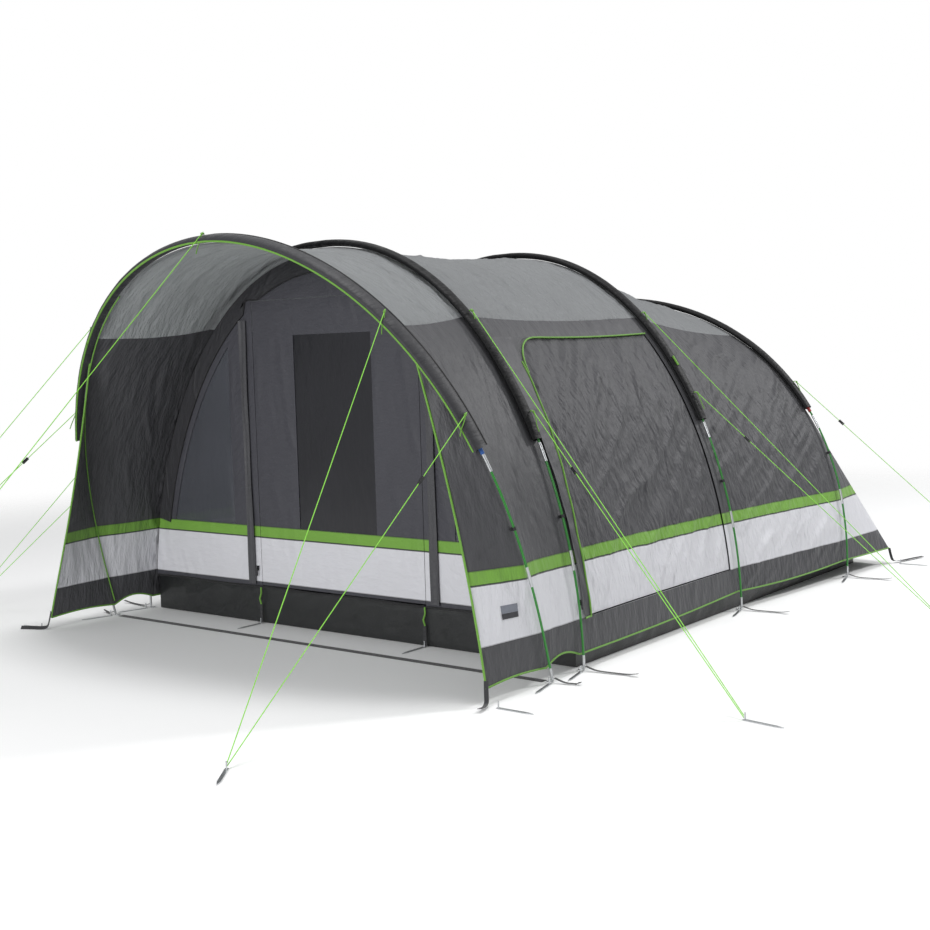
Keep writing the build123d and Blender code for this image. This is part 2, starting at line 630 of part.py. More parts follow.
# ---------------------------------------------------------------- sleeping cabin
def make_cabin():
    front = MIDDLE_ARCH["y"] + CABIN_FRONT
    rows = []
    for share in (0.06, 0.35, 0.65, 0.95):
        right = []
        curve_a, curve_b = offset_curve(MIDDLE_ARCH, CABIN_INSET), offset_curve(REAR_ARCH, CABIN_INSET)
        steps = 10
        start_a, start_b = length_to_height(curve_a, CABIN_LOW), length_to_height(curve_b, CABIN_LOW)
        half_a, half_b = curve_length(curve_a), curve_length(curve_b)
        for i in range(steps + 1):
            a = along(curve_a, start_a + (half_a - start_a) * i / steps)
            b = along(curve_b, start_b + (half_b - start_b) * i / steps)
            right.append(blend(a, b, share))
        rows.append(right + mirrored(reversed(right[:-1])))
    rows[0] = [(x, front, z) for x, y, z in rows[0]]
    shell = grid_cloth(rows, thickness=3.0)
    outline = [(x * 0.985, CABIN_LOW + (z - CABIN_LOW) * 0.985) for x, y, z in rows[0]]
    front_panel = upright(outline, front - 4, 3.0)
    front_panel -= upright(rectangle(-CABIN_DOOR_HALF, CABIN_DOOR_HALF, 0, CABIN_DOOR_TOP), front - 4, 3.0)
    rear_panel = grid_cloth([[(x * 0.97, y + 6, z - 8) for x, y, z in rows[-1][:11]],
                             [(0.0, y + 6, z - 8) for x, y, z in rows[-1][:11]]], thickness=3.0)
    rear_left = mirror(rear_panel, about=Plane.YZ)
    save("sleeping_cabin", [shell] + list(front_panel.solids()) + [rear_panel, rear_left])

    edge = CABIN_DOOR_HALF - DOOR_GAP
    door = upright(rectangle(-edge, edge, CABIN_LOW + 6, CABIN_DOOR_TOP - DOOR_GAP), front - 4, 3.0)
    save("cabin_door", [door.solid()])

    hangers = []
    for arch, share in ((MIDDLE_ARCH, 0.1), (REAR_ARCH, 0.88)):
        for height in (1150.0, 1480.0):
            x, _, z = at_height(offset_curve(arch, POLE_TO_FLY + CLOTH + 34), height)
            y = MIDDLE_ARCH["y"] + share * (REAR_ARCH["y"] - MIDDLE_ARCH["y"])
            outward = Vector(x, 0, z - 700).normalized()
            frame = Plane(origin=(x, y, z), z_dir=outward)
            right = (frame * Cylinder(3.0, 44, align=(Align.CENTER, Align.CENTER, Align.MAX))).solid()
            hangers += [right, mirror(right, about=Plane.YZ)]
    save("cabin_hangers", hangers)


# ---------------------------------------------------------------- guy lines
# Each guy: arch, side (0 is the middle), the heights of its loops, and where its peg stands.
GUYS = {
    "porch_centre": (PORCH_ARCH, 0, [PORCH_ARCH["height"]], (-450.0, -4000.0)),
    "porch_right": (PORCH_ARCH, 1, [1600.0, 1170.0], (1200.0, -3300.0)),
    "porch_left": (PORCH_ARCH, -1, [1600.0, 1170.0], (-1840.0, -3260.0)),
    "front_right": (FRONT_ARCH, 1, [1610.0, 1150.0], (2450.0, -1800.0)),
    "front_left": (FRONT_ARCH, -1, [1610.0, 1150.0], (-2400.0, -2100.0)),
    "middle_right": (MIDDLE_ARCH, 1, [1610.0, 1170.0], (2420.0, 500.0)),
    "middle_left": (MIDDLE_ARCH, -1, [1610.0, 1170.0], (-2420.0, 500.0)),
    "rear_right": (REAR_ARCH, 1, [1180.0], (2450.0, 1800.0)),
    "rear_left": (REAR_ARCH, -1, [1180.0], (-2450.0, 1800.0)),
}


def loop_place(arch, side, height):
    """Where a guy's loop stands on the arch, and the direction out of the arch there."""
    if side == 0:
        crown = Vector(*offset_curve(arch, 0.0)[-1])
        return crown, Vector(0, arch["lean"], arch["height"]).normalized()
    centre, outward, _ = normal_at(arch, height)
    return Vector(side * centre.X, centre.Y, centre.Z), Vector(side * outward.X, outward.Y, outward.Z)


def make_guys():
    loops, pegs = [], []
    for name, (arch, side, heights, peg_at) in GUYS.items():
        lines = []
        outward = Vector(peg_at[0], peg_at[1] - arch["y"], 0).normalized()
        across = Vector(-outward.Y, outward.X, 0)
        for i, height in enumerate(heights):
            centre, normal = loop_place(arch, side, height)
            start = centre + normal * GUY_STANDOFF
            end_height = GUY_END_HEIGHT + GUY_PAIR_STEP * (len(heights) - 1 - i)
            end = Vector(peg_at[0], peg_at[1], end_height) - outward * 5.5
            run = end - start
            frame = Plane(origin=start, z_dir=run)
            tube = Cylinder(GUY_RADIUS, run.length, align=(Align.CENTER, Align.CENTER, Align.MIN))
            lines.append((frame * tube).solid())
            inner = SLEEVE_RADIUS + 2.0
            tab_height = GUY_STANDOFF - GUY_RADIUS - 2.5 - inner
            tab = Box(6, 3, tab_height, align=(Align.CENTER, Align.CENTER, Align.MIN))
            loops.append((Plane(origin=centre + normal * inner, z_dir=normal) * tab).solid())
            if i == 1 or name.startswith("rear"):
                runner = Box(*RUNNER) - Cylinder(RUNNER_BORE, RUNNER[2] + 2)
                runner -= Pos(0, 0, 13) * Box(8, 20, 3)
                save(f"runner_{name}", [(frame * (Pos(0, 0, RUNNER_FROM_LOOP) * runner)).solid()])
                d = run.normalized()
                print("runner", name, "axis", [round(v, 5) for v in (d.X, d.Y, d.Z)])
            print("line", name, i, "start", [round(v, 1) for v in (start.X, start.Y, start.Z)],
                  "end", [round(v, 1) for v in (end.X, end.Y, end.Z)], "length", round(run.length, 1))
        save(f"guy_{name}", lines)
        peg_plane = Plane(origin=Vector(peg_at[0], peg_at[1], 0) - outward * 8, x_dir=outward, z_dir=(0, 0, 1))
        peg = peg_plane * flat_peg()
        pegs.append(peg.solid())
    save("guy_loops", loops)
    save("guy_pegs", pegs)


def save(node, solids):
    shape = solids[0] if len(solids) == 1 else Compound(children=list(solids))
    export_step(shape, f"parts/{node}.step")


make_poles()
make_feet()
make_sleeves()
make_clips()
make_porch()
make_living_bay()
make_sleeping_bay()
make_rear_wall()
make_front_wall()
make_side_zip_slider()
make_groundsheet()
make_straps_and_pegs()
make_cabin()
make_guys()
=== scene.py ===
import math
import bpy
import numpy as np
from mathutils import Matrix, Vector, noise


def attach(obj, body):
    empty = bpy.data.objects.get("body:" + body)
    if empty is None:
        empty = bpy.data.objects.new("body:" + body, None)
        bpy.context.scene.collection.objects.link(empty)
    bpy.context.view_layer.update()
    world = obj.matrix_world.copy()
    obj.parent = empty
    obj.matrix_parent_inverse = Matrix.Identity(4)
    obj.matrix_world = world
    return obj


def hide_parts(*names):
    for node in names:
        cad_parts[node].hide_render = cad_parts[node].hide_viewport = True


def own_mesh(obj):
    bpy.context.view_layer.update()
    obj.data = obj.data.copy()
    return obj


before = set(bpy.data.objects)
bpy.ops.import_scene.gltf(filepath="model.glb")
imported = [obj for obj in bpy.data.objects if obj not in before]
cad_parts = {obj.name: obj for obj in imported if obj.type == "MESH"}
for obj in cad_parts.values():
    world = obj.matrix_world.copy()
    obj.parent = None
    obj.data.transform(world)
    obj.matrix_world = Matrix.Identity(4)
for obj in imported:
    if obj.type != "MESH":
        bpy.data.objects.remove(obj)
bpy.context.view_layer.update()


# ---------------------------------------------------------------- 1. the poles
# Four arches of green glass-fibre rod, pushed together in steel ferrules, with a bare steel tip at each foot that
# stands on a ring and pin. The rods, ferrules, tips and rings are the CAD nodes, with their finishes added here.
class Sig:
    """A shader socket that adds Math nodes when it is used in an expression."""

    def __init__(self, shader, socket):
        self.shader, self.socket = shader, socket

    def _math(self, operation, a, b=0.0):
        return self.shader.add("ShaderNodeMath", {"operation": operation}, {0: a, 1: b})

    def __add__(self, other):
        return self._math("ADD", self, other)

    def __radd__(self, other):
        return self._math("ADD", other, self)

    def __sub__(self, other):
        return self._math("SUBTRACT", self, other)

    def __rsub__(self, other):
        return self._math("SUBTRACT", other, self)

    def __mul__(self, other):
        return self._math("MULTIPLY", self, other)

    def __rmul__(self, other):
        return self._math("MULTIPLY", other, self)

    def __gt__(self, other):
        return self._math("GREATER_THAN", self, other)

    def __lt__(self, other):
        return self._math("LESS_THAN", self, other)

    def __pow__(self, other):
        return self._math("POWER", self, other)

    def sine(self):
        return self._math("SINE", self)

    def size(self):
        return self._math("ABSOLUTE", self)


class Shader:
    """One material, with its Principled surface and a method that adds any other node."""

    def __init__(self, name, **fixed):
        self.material = bpy.data.materials.new(name)
        self.material.use_nodes = True
        self.tree = self.material.node_tree
        self.surface = self.tree.nodes["Principled BSDF"]
        for socket, value in fixed.items():
            self.surface.inputs[socket.replace("_", " ")].default_value = value

    def add(self, kind, settings=None, inputs=None, output=0):
        node = self.tree.nodes.new(kind)
        for name, value in (settings or {}).items():
            setattr(node, name, value)
        for name, value in (inputs or {}).items():
            self.put(node.inputs[name], value)
        return Sig(self, node.outputs[output])

    def put(self, socket, value):
        if isinstance(value, Sig):
            self.tree.links.new(value.socket, socket)
        else:
            socket.default_value = value

    def feed(self, name, value):
        self.put(self.surface.inputs[name], value)

    def place(self):
        return self.add("ShaderNodeTexCoord", output="Object")

    def cloth_uv(self):
        return self.add("ShaderNodeUVMap", {"uv_map": "cloth"})

    def parts(self, vector):
        node = self.tree.nodes.new("ShaderNodeSeparateXYZ")
        self.put(node.inputs[0], vector)
        return [Sig(self, output) for output in node.outputs]

    def noise(self, vector, scale, detail=3.0, rough=0.5):
        return self.add("ShaderNodeTexNoise", None,
                        {"Vector": vector, "Scale": scale, "Detail": detail, "Roughness": rough})

    def stretch(self, vector, x, y, z):
        return self.add("ShaderNodeMapping", None, {"Vector": vector, "Scale": (x, y, z)})

    def mix(self, share, a, b):
        return self.add("ShaderNodeMix", {"data_type": "RGBA"}, {0: share, 6: a, 7: b}, output=2)

    def bump(self, height, distance, strength=1.0):
        return self.add("ShaderNodeBump", None, {"Height": height, "Distance": distance, "Strength": strength})

    def glow_through(self, color, share):
        """Mixes in the light that comes through thin cloth from behind."""
        normal = Sig(self, self.surface.inputs["Normal"].links[0].from_socket)
        through = self.add("ShaderNodeBsdfTranslucent", None, {"Color": color, "Normal": normal})
        surface = Sig(self, self.surface.outputs[0])
        both = self.add("ShaderNodeMixShader", None, {0: share, 1: surface, 2: through})
        self.put(self.tree.nodes["Material Output"].inputs[0], both)


def rgb(red, green, blue):
    """Screen colour from 0 to 255, as a linear shader colour."""
    return tuple((value / 255 / 12.92 if value < 10.3 else ((value / 255 + 0.055) / 1.055) ** 2.4)
                 for value in (red, green, blue)) + (1.0,)


def wear(shader, color, spread=0.12, scale=9.0, vector=None):
    """The colour with slow, slight variation over the surface."""
    patch = shader.noise(vector or shader.place(), scale, 4.0)
    darker = tuple(c * (1 - spread) for c in color[:3]) + (1.0,)
    lighter = tuple(min(c * (1 + spread), 1.0) for c in color[:3]) + (1.0,)
    return shader.mix(patch, darker, lighter)


fibreglass = Shader("green_glass_fibre", Coat_Weight=0.25, Coat_Roughness=0.2)
fibreglass.feed("Base Color", wear(fibreglass, rgb(30, 118, 34), 0.25, 30.0))
strands = fibreglass.noise(fibreglass.stretch(fibreglass.place(), 900, 900, 14), 1.0, 2.0)
fibreglass.feed("Roughness", 0.26 + strands * 0.16)
fibreglass.feed("Normal", fibreglass.bump(strands, 0.0002, 0.5))

steel = Shader("galvanised_steel", Metallic=1.0)
steel.feed("Base Color", wear(steel, rgb(196, 198, 200), 0.14, 60.0))
scratches = steel.noise(steel.stretch(steel.place(), 300, 300, 40), 1.0, 4.0)
steel.feed("Roughness", 0.28 + scratches * 0.22)
steel.feed("Normal", steel.bump(scratches, 0.00015, 0.6))

elastic = Shader("elastic_cord", Roughness=0.8)
elastic.feed("Base Color", wear(elastic, rgb(220, 220, 215), 0.1, 400.0))


def finish_node(node, shader):
    """Gives a CAD node its material."""
    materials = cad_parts[node].data.materials
    materials.clear()
    materials.append(shader.material)


for number in (1, 2, 3, 4):
    finish_node(f"arch_{number}_rods", fibreglass)
for node in ("pole_ferrules", "pole_tips", "ring_pins"):
    finish_node(node, steel)
finish_node("shock_cords", elastic)


# ---------------------------------------------------------------- 2. the arches' shape
# Every panel is cut to the bent poles, so their curves come first: each arch stands in its own plane, which may lean,
# and cloth lies a little inside the pole's centre line.
ARCHES = {
    # foot's y, half span, height, lean of the crown along y, and the two powers of the shape
    "porch": (-1.70, 1.50, 1.985, -0.53, 1.96, 2.57),
    "front": (-1.45, 1.50, 2.00, 0.0, 2.13, 1.90),
    "middle": (0.13, 1.50, 2.00, 0.0, 2.13, 1.90),
    "rear": (1.35, 1.61, 1.75, 0.05, 1.92, 2.38),
}
SEAM = {"porch": 1.56, "front": 1.60, "middle": 1.60, "rear": 1.49}
FLY_INSET = 0.020
SLEEVE_END = 1.03
SKIRT_TOP, GREEN_LOW, GREEN_HIGH = 0.225, 0.470, 0.530
SAG, SAG_RISE = 0.028, 0.6
HEM_TOP, AXIS_HEIGHT = 0.1, 0.7


ARCH_STEPS = 500


def arch_curve(arch, inset):
    """Points from the right foot to the crown, inset from the pole's centre line."""
    y, span, height, lean, side, crown = ARCHES[arch]
    slope = math.hypot(1, lean / height)
    angle = np.linspace(0, math.pi / 2, ARCH_STEPS + 1)
    across = span * np.clip(np.cos(angle), 0, 1) ** (2 / side)
    up = slope * height * np.sin(angle) ** (2 / crown)
    run, rise = np.gradient(across), np.gradient(up)
    run[-1], rise[-1] = -1.0, 0.0
    length = np.hypot(run, rise)
    across = across - inset * rise / length
    up = (up + inset * run / length) / slope
    return np.stack([across, y + lean * up / height, up], 1)


def at_heights(curve, heights):
    """Points of the curve at the given heights."""
    return np.stack([np.interp(heights, curve[:, 2], curve[:, axis]) for axis in (0, 1)] + [heights], 1)


def at_widths(curve, widths):
    """Points of the curve at the given distances from the tent's middle."""
    back = curve[::-1]
    y, z = (np.interp(widths, back[:, 0], back[:, axis]) for axis in (1, 2))
    return np.stack([widths, y, z], 1)


def drawn_in(points, share):
    """Cloth between two arches, drawn towards the tunnel's axis by its tension, except at its hem."""
    points = points.copy()
    depth = SAG * 4 * share * (1 - share) * np.clip((points[:, 2] - HEM_TOP) / SAG_RISE, 0, 1)
    reach = np.hypot(points[:, 0], points[:, 2] - AXIS_HEIGHT)
    points[:, 0] -= depth * points[:, 0] / reach
    points[:, 2] -= depth * (points[:, 2] - AXIS_HEIGHT) / reach
    return points


SIDES = ((1, "right"), (-1, "left"))


def on_side(points, side):
    """Points of the right side, or their mirror image when side is -1."""
    return points * np.array([side, 1, 1])


# ---------------------------------------------------------------- 3. the fly's cloth
# Proofed polyester taffeta: charcoal walls with a light band and a green band sewn in low down, and a silver roof. Each
# bay is a roof and two sides, sewn to each other and under the pole sleeves.
CHARCOAL, LIGHT_BAND, GREEN_BAND = (70, 70, 73), (206, 206, 211), (112, 158, 64)
BANDS = ((SKIRT_TOP, GREEN_LOW, LIGHT_BAND), (GREEN_LOW, GREEN_HIGH, GREEN_BAND))
SEAM_HALF = 0.004
FOLD_SIZE = (0.34, 0.075, 1)


def taffeta(name, color, turn, crumple, gloss=0.35, through=0.0, bands=()):
    """Cloth material with threads, puckers and creases that run at the turn, and bands between heights."""
    shader = Shader(name, Specular_IOR_Level=gloss, Sheen_Weight=0.1, Sheen_Roughness=0.4)
    uv = shader.cloth_uv()
    cross, along, _ = shader.parts(uv)
    tint = wear(shader, rgb(*color), 0.10, 2.2, uv)
    if bands:
        z = shader.parts(shader.place())[2]
        for low, high, band in bands:
            inside = (z > low) * (z < high)
            tint = shader.mix(inside, tint, wear(shader, rgb(*band), 0.05, 3.0, uv))
        seams = sum(((z - edge).size() < SEAM_HALF) for low, high, _ in bands for edge in (low, high))
        tint = shader.mix(seams * 0.45, tint, (0.02, 0.02, 0.02, 1.0))
    shader.feed("Base Color", tint)
    threads = (cross * 2600).sine() * (along * 2600).sine()
    slub = shader.noise(shader.stretch(uv, 700, 60, 1), 1.0, 2.0)
    bend = shader.add("ShaderNodeTexNoise", None, {"Vector": uv, "Scale": 1.6, "Detail": 2.0}, output=1)
    warped = shader.add("ShaderNodeMix", {"data_type": "VECTOR"}, {0: 0.16, 4: uv, 5: bend}, output=1)
    turned = shader.add("ShaderNodeMapping", {"vector_type": "TEXTURE"},
                        {"Vector": warped, "Rotation": (0, 0, turn), "Scale": FOLD_SIZE})
    folds = shader.add("ShaderNodeTexNoise", {"noise_type": "RIDGED_MULTIFRACTAL"},
                       {"Vector": turned, "Scale": 1.0, "Detail": 3.0, "Roughness": 0.5})
    puckers = shader.noise(shader.stretch(uv, 9, 26, 1), 1.0, 3.0, 0.55)
    shader.feed("Roughness", 0.47 + slub * 0.14)
    fine = shader.bump(threads * 0.5 + slub, 0.0002, 0.35)
    soft = shader.add("ShaderNodeBump", None, {"Height": puckers * 0.6 + folds, "Distance": 0.020 * (1 + crumple),
                                               "Strength": crumple, "Normal": fine})
    shader.feed("Normal", soft)
    if through:
        shader.glow_through((0.62, 0.64, 0.64, 1.0), through)
    return shader


wall_cloth = taffeta("charcoal_taffeta", CHARCOAL, 0.25, 0.6, bands=BANDS)
sleeping_cloth = taffeta("charcoal_taffeta_drawn", CHARCOAL, 1.0, 0.9, gloss=0.25, bands=BANDS)
roof_cloth = taffeta("silver_taffeta", (158, 160, 162), 0.15, 1.0, through=0.45)


def trim(name, color):
    """Narrow woven tape or cord cover, patterned in the object's own space."""
    shader = Shader(name, Sheen_Weight=0.1)
    shader.feed("Base Color", wear(shader, rgb(*color), 0.15, 60.0))
    x, y, z = shader.parts(shader.place())
    weave = ((x + z) * 1600).sine() * ((y - z) * 1600).sine()
    shader.feed("Roughness", 0.6 + weave * 0.1)
    shader.feed("Normal", shader.bump(weave, 0.0003, 0.6))
    return shader


piping_cloth = trim("green_piping", (98, 150, 48))


def creases(rows, seed, amount, turn, crumple):
    """Folds over a grid of points, none at its edges: slow swells, and sharper creases drawn along one direction."""
    down, across = rows.shape[:2]
    normal = np.cross(np.gradient(rows, axis=0), np.gradient(rows, axis=1))
    normal /= np.maximum(np.linalg.norm(normal, axis=2, keepdims=True), 1e-9)
    up = np.cumsum(np.linalg.norm(np.diff(rows, axis=1, prepend=rows[:, :1]), axis=2), axis=1)
    along = np.cumsum(np.linalg.norm(np.diff(rows, axis=0, prepend=rows[:1]), axis=2), axis=0)
    depth = np.zeros((down, across))
    for i in range(down):
        for j in range(across):
            u, v = up[i, j], along[i, j]
            wide = noise.noise(Vector((u * 1.8, v * 1.8, seed)))
            bend = 0.5 * noise.noise(Vector((u * 1.1, v * 1.1, seed + 5)))
            across_fold = v * math.cos(turn) - u * math.sin(turn) + bend * 0.5
            with_fold = u * math.cos(turn) + v * math.sin(turn)
            crease = 1 - 2 * abs(noise.noise(Vector((across_fold * 6.5, with_fold * 1.3, seed + 9))))
            small = 1 - 2 * abs(noise.noise(Vector((across_fold * 14, with_fold * 3.0, seed + 13))))
            low = math.exp(-max(rows[i, j, 2] - 0.1, 0) / 0.3)
            gathers = noise.noise(Vector((v * 11, u * 1.5, seed + 17)))
            depth[i, j] = wide * 0.8 + crumple * (1.5 * crease ** 3 + 0.6 * small ** 3) + 0.7 * low * gathers
    edge = np.minimum.outer(np.sin(np.linspace(0, math.pi, down)), np.sin(np.linspace(0, math.pi, across)))
    return rows + normal * (depth * np.clip(edge * 3.5, 0, 1) * amount)[:, :, None]


CLOTH = 0.0012


def cloth_mesh(name, rows, shader, thickness=CLOTH):
    """A sheet through a grid of points, with a map in metres called cloth, given a thickness inwards."""
    down, across = rows.shape[:2]
    points = rows.reshape(-1, 3)
    faces = [(i * across + j, (i + 1) * across + j, (i + 1) * across + j + 1, i * across + j + 1)
             for i in range(down - 1) for j in range(across - 1)]
    mesh = bpy.data.meshes.new(name)
    mesh.from_pydata(points.tolist(), [], faces)
    widths = np.zeros((down, across))
    lengths = np.zeros((down, across))
    widths[:, 1:] = np.cumsum(np.linalg.norm(np.diff(rows, axis=1), axis=2), axis=1)
    lengths[1:] = np.cumsum(np.linalg.norm(np.diff(rows, axis=0), axis=2), axis=0)
    uv = mesh.uv_layers.new(name="cloth")
    for loop in mesh.loops:
        row, column = divmod(loop.vertex_index, across)
        uv.data[loop.index].uv = (widths[row, column], lengths[row, column])
    mesh.materials.append(shader.material)
    mesh.shade_smooth()
    grid = np.array([edge.vertices[:] for edge in mesh.edges])
    row, column = grid // across, grid % across
    border = ((row == 0).all(1) | (row == down - 1).all(1) | (column == 0).all(1) | (column == across - 1).all(1))
    sharp = mesh.attributes.new("sharp_edge", "BOOLEAN", "EDGE")
    sharp.data.foreach_set("value", border)
    piece = bpy.data.objects.new(name, mesh)
    bpy.context.collection.objects.link(piece)
    wall = piece.modifiers.new("cloth", "SOLIDIFY")
    wall.thickness, wall.offset = thickness, -1
    return piece


def cut_size(rows):
    """Width and length of the flat cut that a grid of points was made from, and its area."""
    width = np.linalg.norm(np.diff(rows, axis=1), axis=2).sum(axis=1).max()
    length = np.linalg.norm(np.diff(rows, axis=0), axis=2).sum(axis=0).max()
    a, b = rows[1:, :-1] - rows[:-1, :-1], rows[:-1, 1:] - rows[:-1, :-1]
    c, d = rows[1:, :-1] - rows[1:, 1:], rows[:-1, 1:] - rows[1:, 1:]
    area = 0.5 * (np.linalg.norm(np.cross(a, b), axis=2) + np.linalg.norm(np.cross(c, d), axis=2)).sum()
    return float(width), float(length), float(min(max(area, 0.31 * width * length), width * length))


def sewn_panel(name, rows, shader, node, seed=0.0, amount=0.0, turn=0.3, crumple=0.5,
               body="tent"):
    """Panel of cloth through a grid of points, creased by the amount, which stands for a CAD node."""
    rows = creases(rows, seed, amount, turn, crumple) if amount else rows
    piece = cloth_mesh(name, rows, shader)
    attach(piece, body)
    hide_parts(node)
    width, length, area = cut_size(rows)
    return piece


def tube_along(name, points, radius, shader, body="tent"):
    """Round cord or piping sewn along a line of points."""
    data = bpy.data.curves.new(name, "CURVE")
    data.dimensions = "3D"
    data.bevel_depth = radius
    data.bevel_resolution = 3
    line = data.splines.new("POLY")
    line.points.add(len(points) - 1)
    for target, point in zip(line.points, points):
        target.co = (*point, 1.0)
    data.materials.append(shader.material)
    curve = bpy.data.objects.new(name, data)
    bpy.context.collection.objects.link(curve)
    piece = bpy.data.objects.new(name, bpy.data.meshes.new_from_object(curve))
    bpy.data.objects.remove(curve)
    piece.name = name
    bpy.context.collection.objects.link(piece)
    piece.data.shade_smooth()
    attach(piece, body)


def mirrored(rows):
    """The same panel on the left, with its faces still outwards."""
    return on_side(rows[::-1], -1)


HEM = {"porch": 0.066, "front": 0.072, "middle": 0.100, "rear": 0.104}


def hem_height(first, second, share, lift):
    """The hem hangs from the feet and is cut up in a shallow arc between them."""
    return HEM[first] + (HEM[second] - HEM[first]) * share + lift * math.sin(math.pi * share)


def leg(arch, low, top=None, count=72):
    """Right leg of an arch, from a height up to its seam or to another height."""
    return at_heights(arch_curve(arch, FLY_INSET), np.linspace(low, top or SEAM[arch], count))


def between(first, second, share):
    """Cloth at a share of the way from one arch's line to the next one's."""
    return drawn_in(first + (second - first) * share, share)


def bay_side(first, second, count, lift):
    """Right side of the bay between two arches."""
    rows = []
    for share in np.linspace(0, 1, count):
        low = hem_height(first, second, share, lift)
        rows.append(between(leg(first, low), leg(second, low), share))
    return np.array(rows)


def bay_roof(first, second, count):
    """Roof of the bay between two arches, from seam to seam over the top."""
    rows = []
    sides = np.cos(np.linspace(0, math.pi, 111))
    curves = [arch_curve(arch, FLY_INSET) for arch in (first, second)]
    edges = [at_heights(curve, np.array([SEAM[arch]]))[0, 0] for curve, arch in zip(curves, (first, second))]
    for share in np.linspace(0, 1, count):
        row = between(*(at_widths(curve, np.abs(sides) * edge) for curve, edge in zip(curves, edges)), share)
        row[:, 0] *= np.where(sides >= 0, 1, -1)
        rows.append(row)
    return np.array(rows)


# The porch roof runs from the leaning front arch back to the second arch. Its sides go on past the front arch as wings.
sewn_panel("porch_roof_cloth", bay_roof("porch", "front", 26), roof_cloth, "porch_roof", 3.1, 0.009, 0.2, 0.6)

WING_CORNER, WING_TOP = (1.471, -2.145), 1.435
WING_DRAW, WING_BOW, WING_LIFT = 1.07, 0.026, 0.012


def porch_side():
    """Right side of the porch with its wing, and the wing's front edge, which bows a little forwards."""
    arch_leg = leg("porch", HEM["porch"])
    meeting = at_heights(arch_curve("porch", FLY_INSET), np.array([WING_TOP]))[0]
    low = arch_leg[0, 2]
    share = np.clip((arch_leg[:, 2] - low) / (WING_TOP - low), 0, 1)
    edge = arch_leg.copy()
    below = share < 1
    edge[below, 0] = WING_CORNER[0] + (meeting[0] - WING_CORNER[0]) * share[below] ** WING_DRAW
    edge[below, 1] = (WING_CORNER[1] + (meeting[1] - WING_CORNER[1]) * share[below]
                      + WING_BOW * np.sin(math.pi * share[below]))
    rows = []
    for step in np.linspace(0, 1, 27)[:-1]:
        row = edge + (arch_leg - edge) * step
        row[:, 2] += WING_LIFT * math.sin(math.pi * step) * (1 - share)
        rows.append(row)
    rows += list(bay_side("porch", "front", 16, 0.034))
    return np.array(rows), edge[below]


porch_rows, wing_edge = porch_side()
sewn_panel("porch_side_right_cloth", porch_rows, wall_cloth, "porch_side_right", 5.2, 0.007, 0.05)
sewn_panel("porch_side_left_cloth", mirrored(porch_rows), wall_cloth, "porch_side_left", 7.7, 0.007, 0.05)

# The living bay: a roof, a plain left side, and a right side cut out for the side door.
sewn_panel("living_roof_cloth", bay_roof("front", "middle", 64), roof_cloth, "living_roof", 11.3, 0.010, 1.2, 0.6)
LIVING_LIFT, SLEEPING_LIFT = -0.008, -0.016
living_rows = bay_side("front", "middle", 72, LIVING_LIFT)
sewn_panel("living_side_left_cloth", mirrored(living_rows), sleeping_cloth, "living_side_left", 13.9, 0.007, 0.7, 0.7)

DOOR_FRONT, DOOR_REAR, DOOR_TOP = 0.100, 0.060, 1.510
BAY = ARCHES["middle"][0] - ARCHES["front"][0]


def side_strip(first, last, low, high, across, up):
    """Part of the living bay's right side, between two distances behind the front arch and two heights, the lower
    one None where it follows the hem."""
    rows = []
    for share in np.linspace(first, last, across) / BAY:
        bottom = hem_height("front", "middle", share, LIVING_LIFT) if low is None else low
        rows.append(between(leg("front", bottom, high, up), leg("middle", bottom, high, up), share))
    return np.array(rows)


right_strips = {
    "front": side_strip(0, DOOR_FRONT, None, SEAM["front"], 5, 46),
    "rear": side_strip(BAY - DOOR_REAR, BAY, None, SEAM["front"], 4, 46),
    "top": side_strip(DOOR_FRONT, BAY - DOOR_REAR, DOOR_TOP, SEAM["front"], 44, 5),
    "sill": side_strip(DOOR_FRONT, BAY - DOOR_REAR, None, SKIRT_TOP, 44, 9),
}
for name, rows in right_strips.items():
    sewn_panel(f"living_side_right_{name}", rows, wall_cloth, "living_side_right", 17.0, 0.003)

# The sleeping bay.
sewn_panel("sleeping_roof_cloth", bay_roof("middle", "rear", 52), roof_cloth, "sleeping_roof", 19.4, 0.010, 0.8, 0.7)
sleeping_rows = bay_side("middle", "rear", 60, SLEEPING_LIFT)
for label, rows, seed in (("right", sleeping_rows, 23.8), ("left", mirrored(sleeping_rows), 29.1)):
    sewn_panel(f"sleeping_side_{label}_cloth", rows, sleeping_cloth, f"sleeping_side_{label}", seed, 0.008, 0.9, 0.8)

# The tail: two flanks from the rear arch to the rear corners, and the rear wall that slopes between them.
REAR_CORNER, REAR_CENTRE_Y, REAR_HEM = (1.640, 1.970), 2.130, 0.10


def tail():
    """The right flank and the rear wall."""
    legs = leg("rear", HEM["rear"], SLEEVE_END, 40)
    ridge_low, ridge_high = np.array([*REAR_CORNER, REAR_HEM]), legs[-1]
    rise = (legs[:, 2] - legs[0, 2]) / (legs[-1, 2] - legs[0, 2])
    ridge = ridge_low + (ridge_high - ridge_low) * rise[:, None]
    flank = np.array([legs + (ridge - legs) * step for step in np.linspace(0, 1, 24)])
    sides = np.cos(np.linspace(0, math.pi, 91))
    top = at_widths(arch_curve("rear", FLY_INSET), np.abs(sides) * ridge_high[0])
    top[:, 0] *= np.where(sides >= 0, 1, -1)
    hem_y = REAR_CENTRE_Y + (REAR_CORNER[1] - REAR_CENTRE_Y) * sides ** 2
    hem = np.stack([sides * REAR_CORNER[0], hem_y, np.full(len(sides), REAR_HEM)], 1)
    wall = np.array([hem + (top - hem) * step for step in np.linspace(0, 1, 64)])
    return flank, wall[:, ::-1]


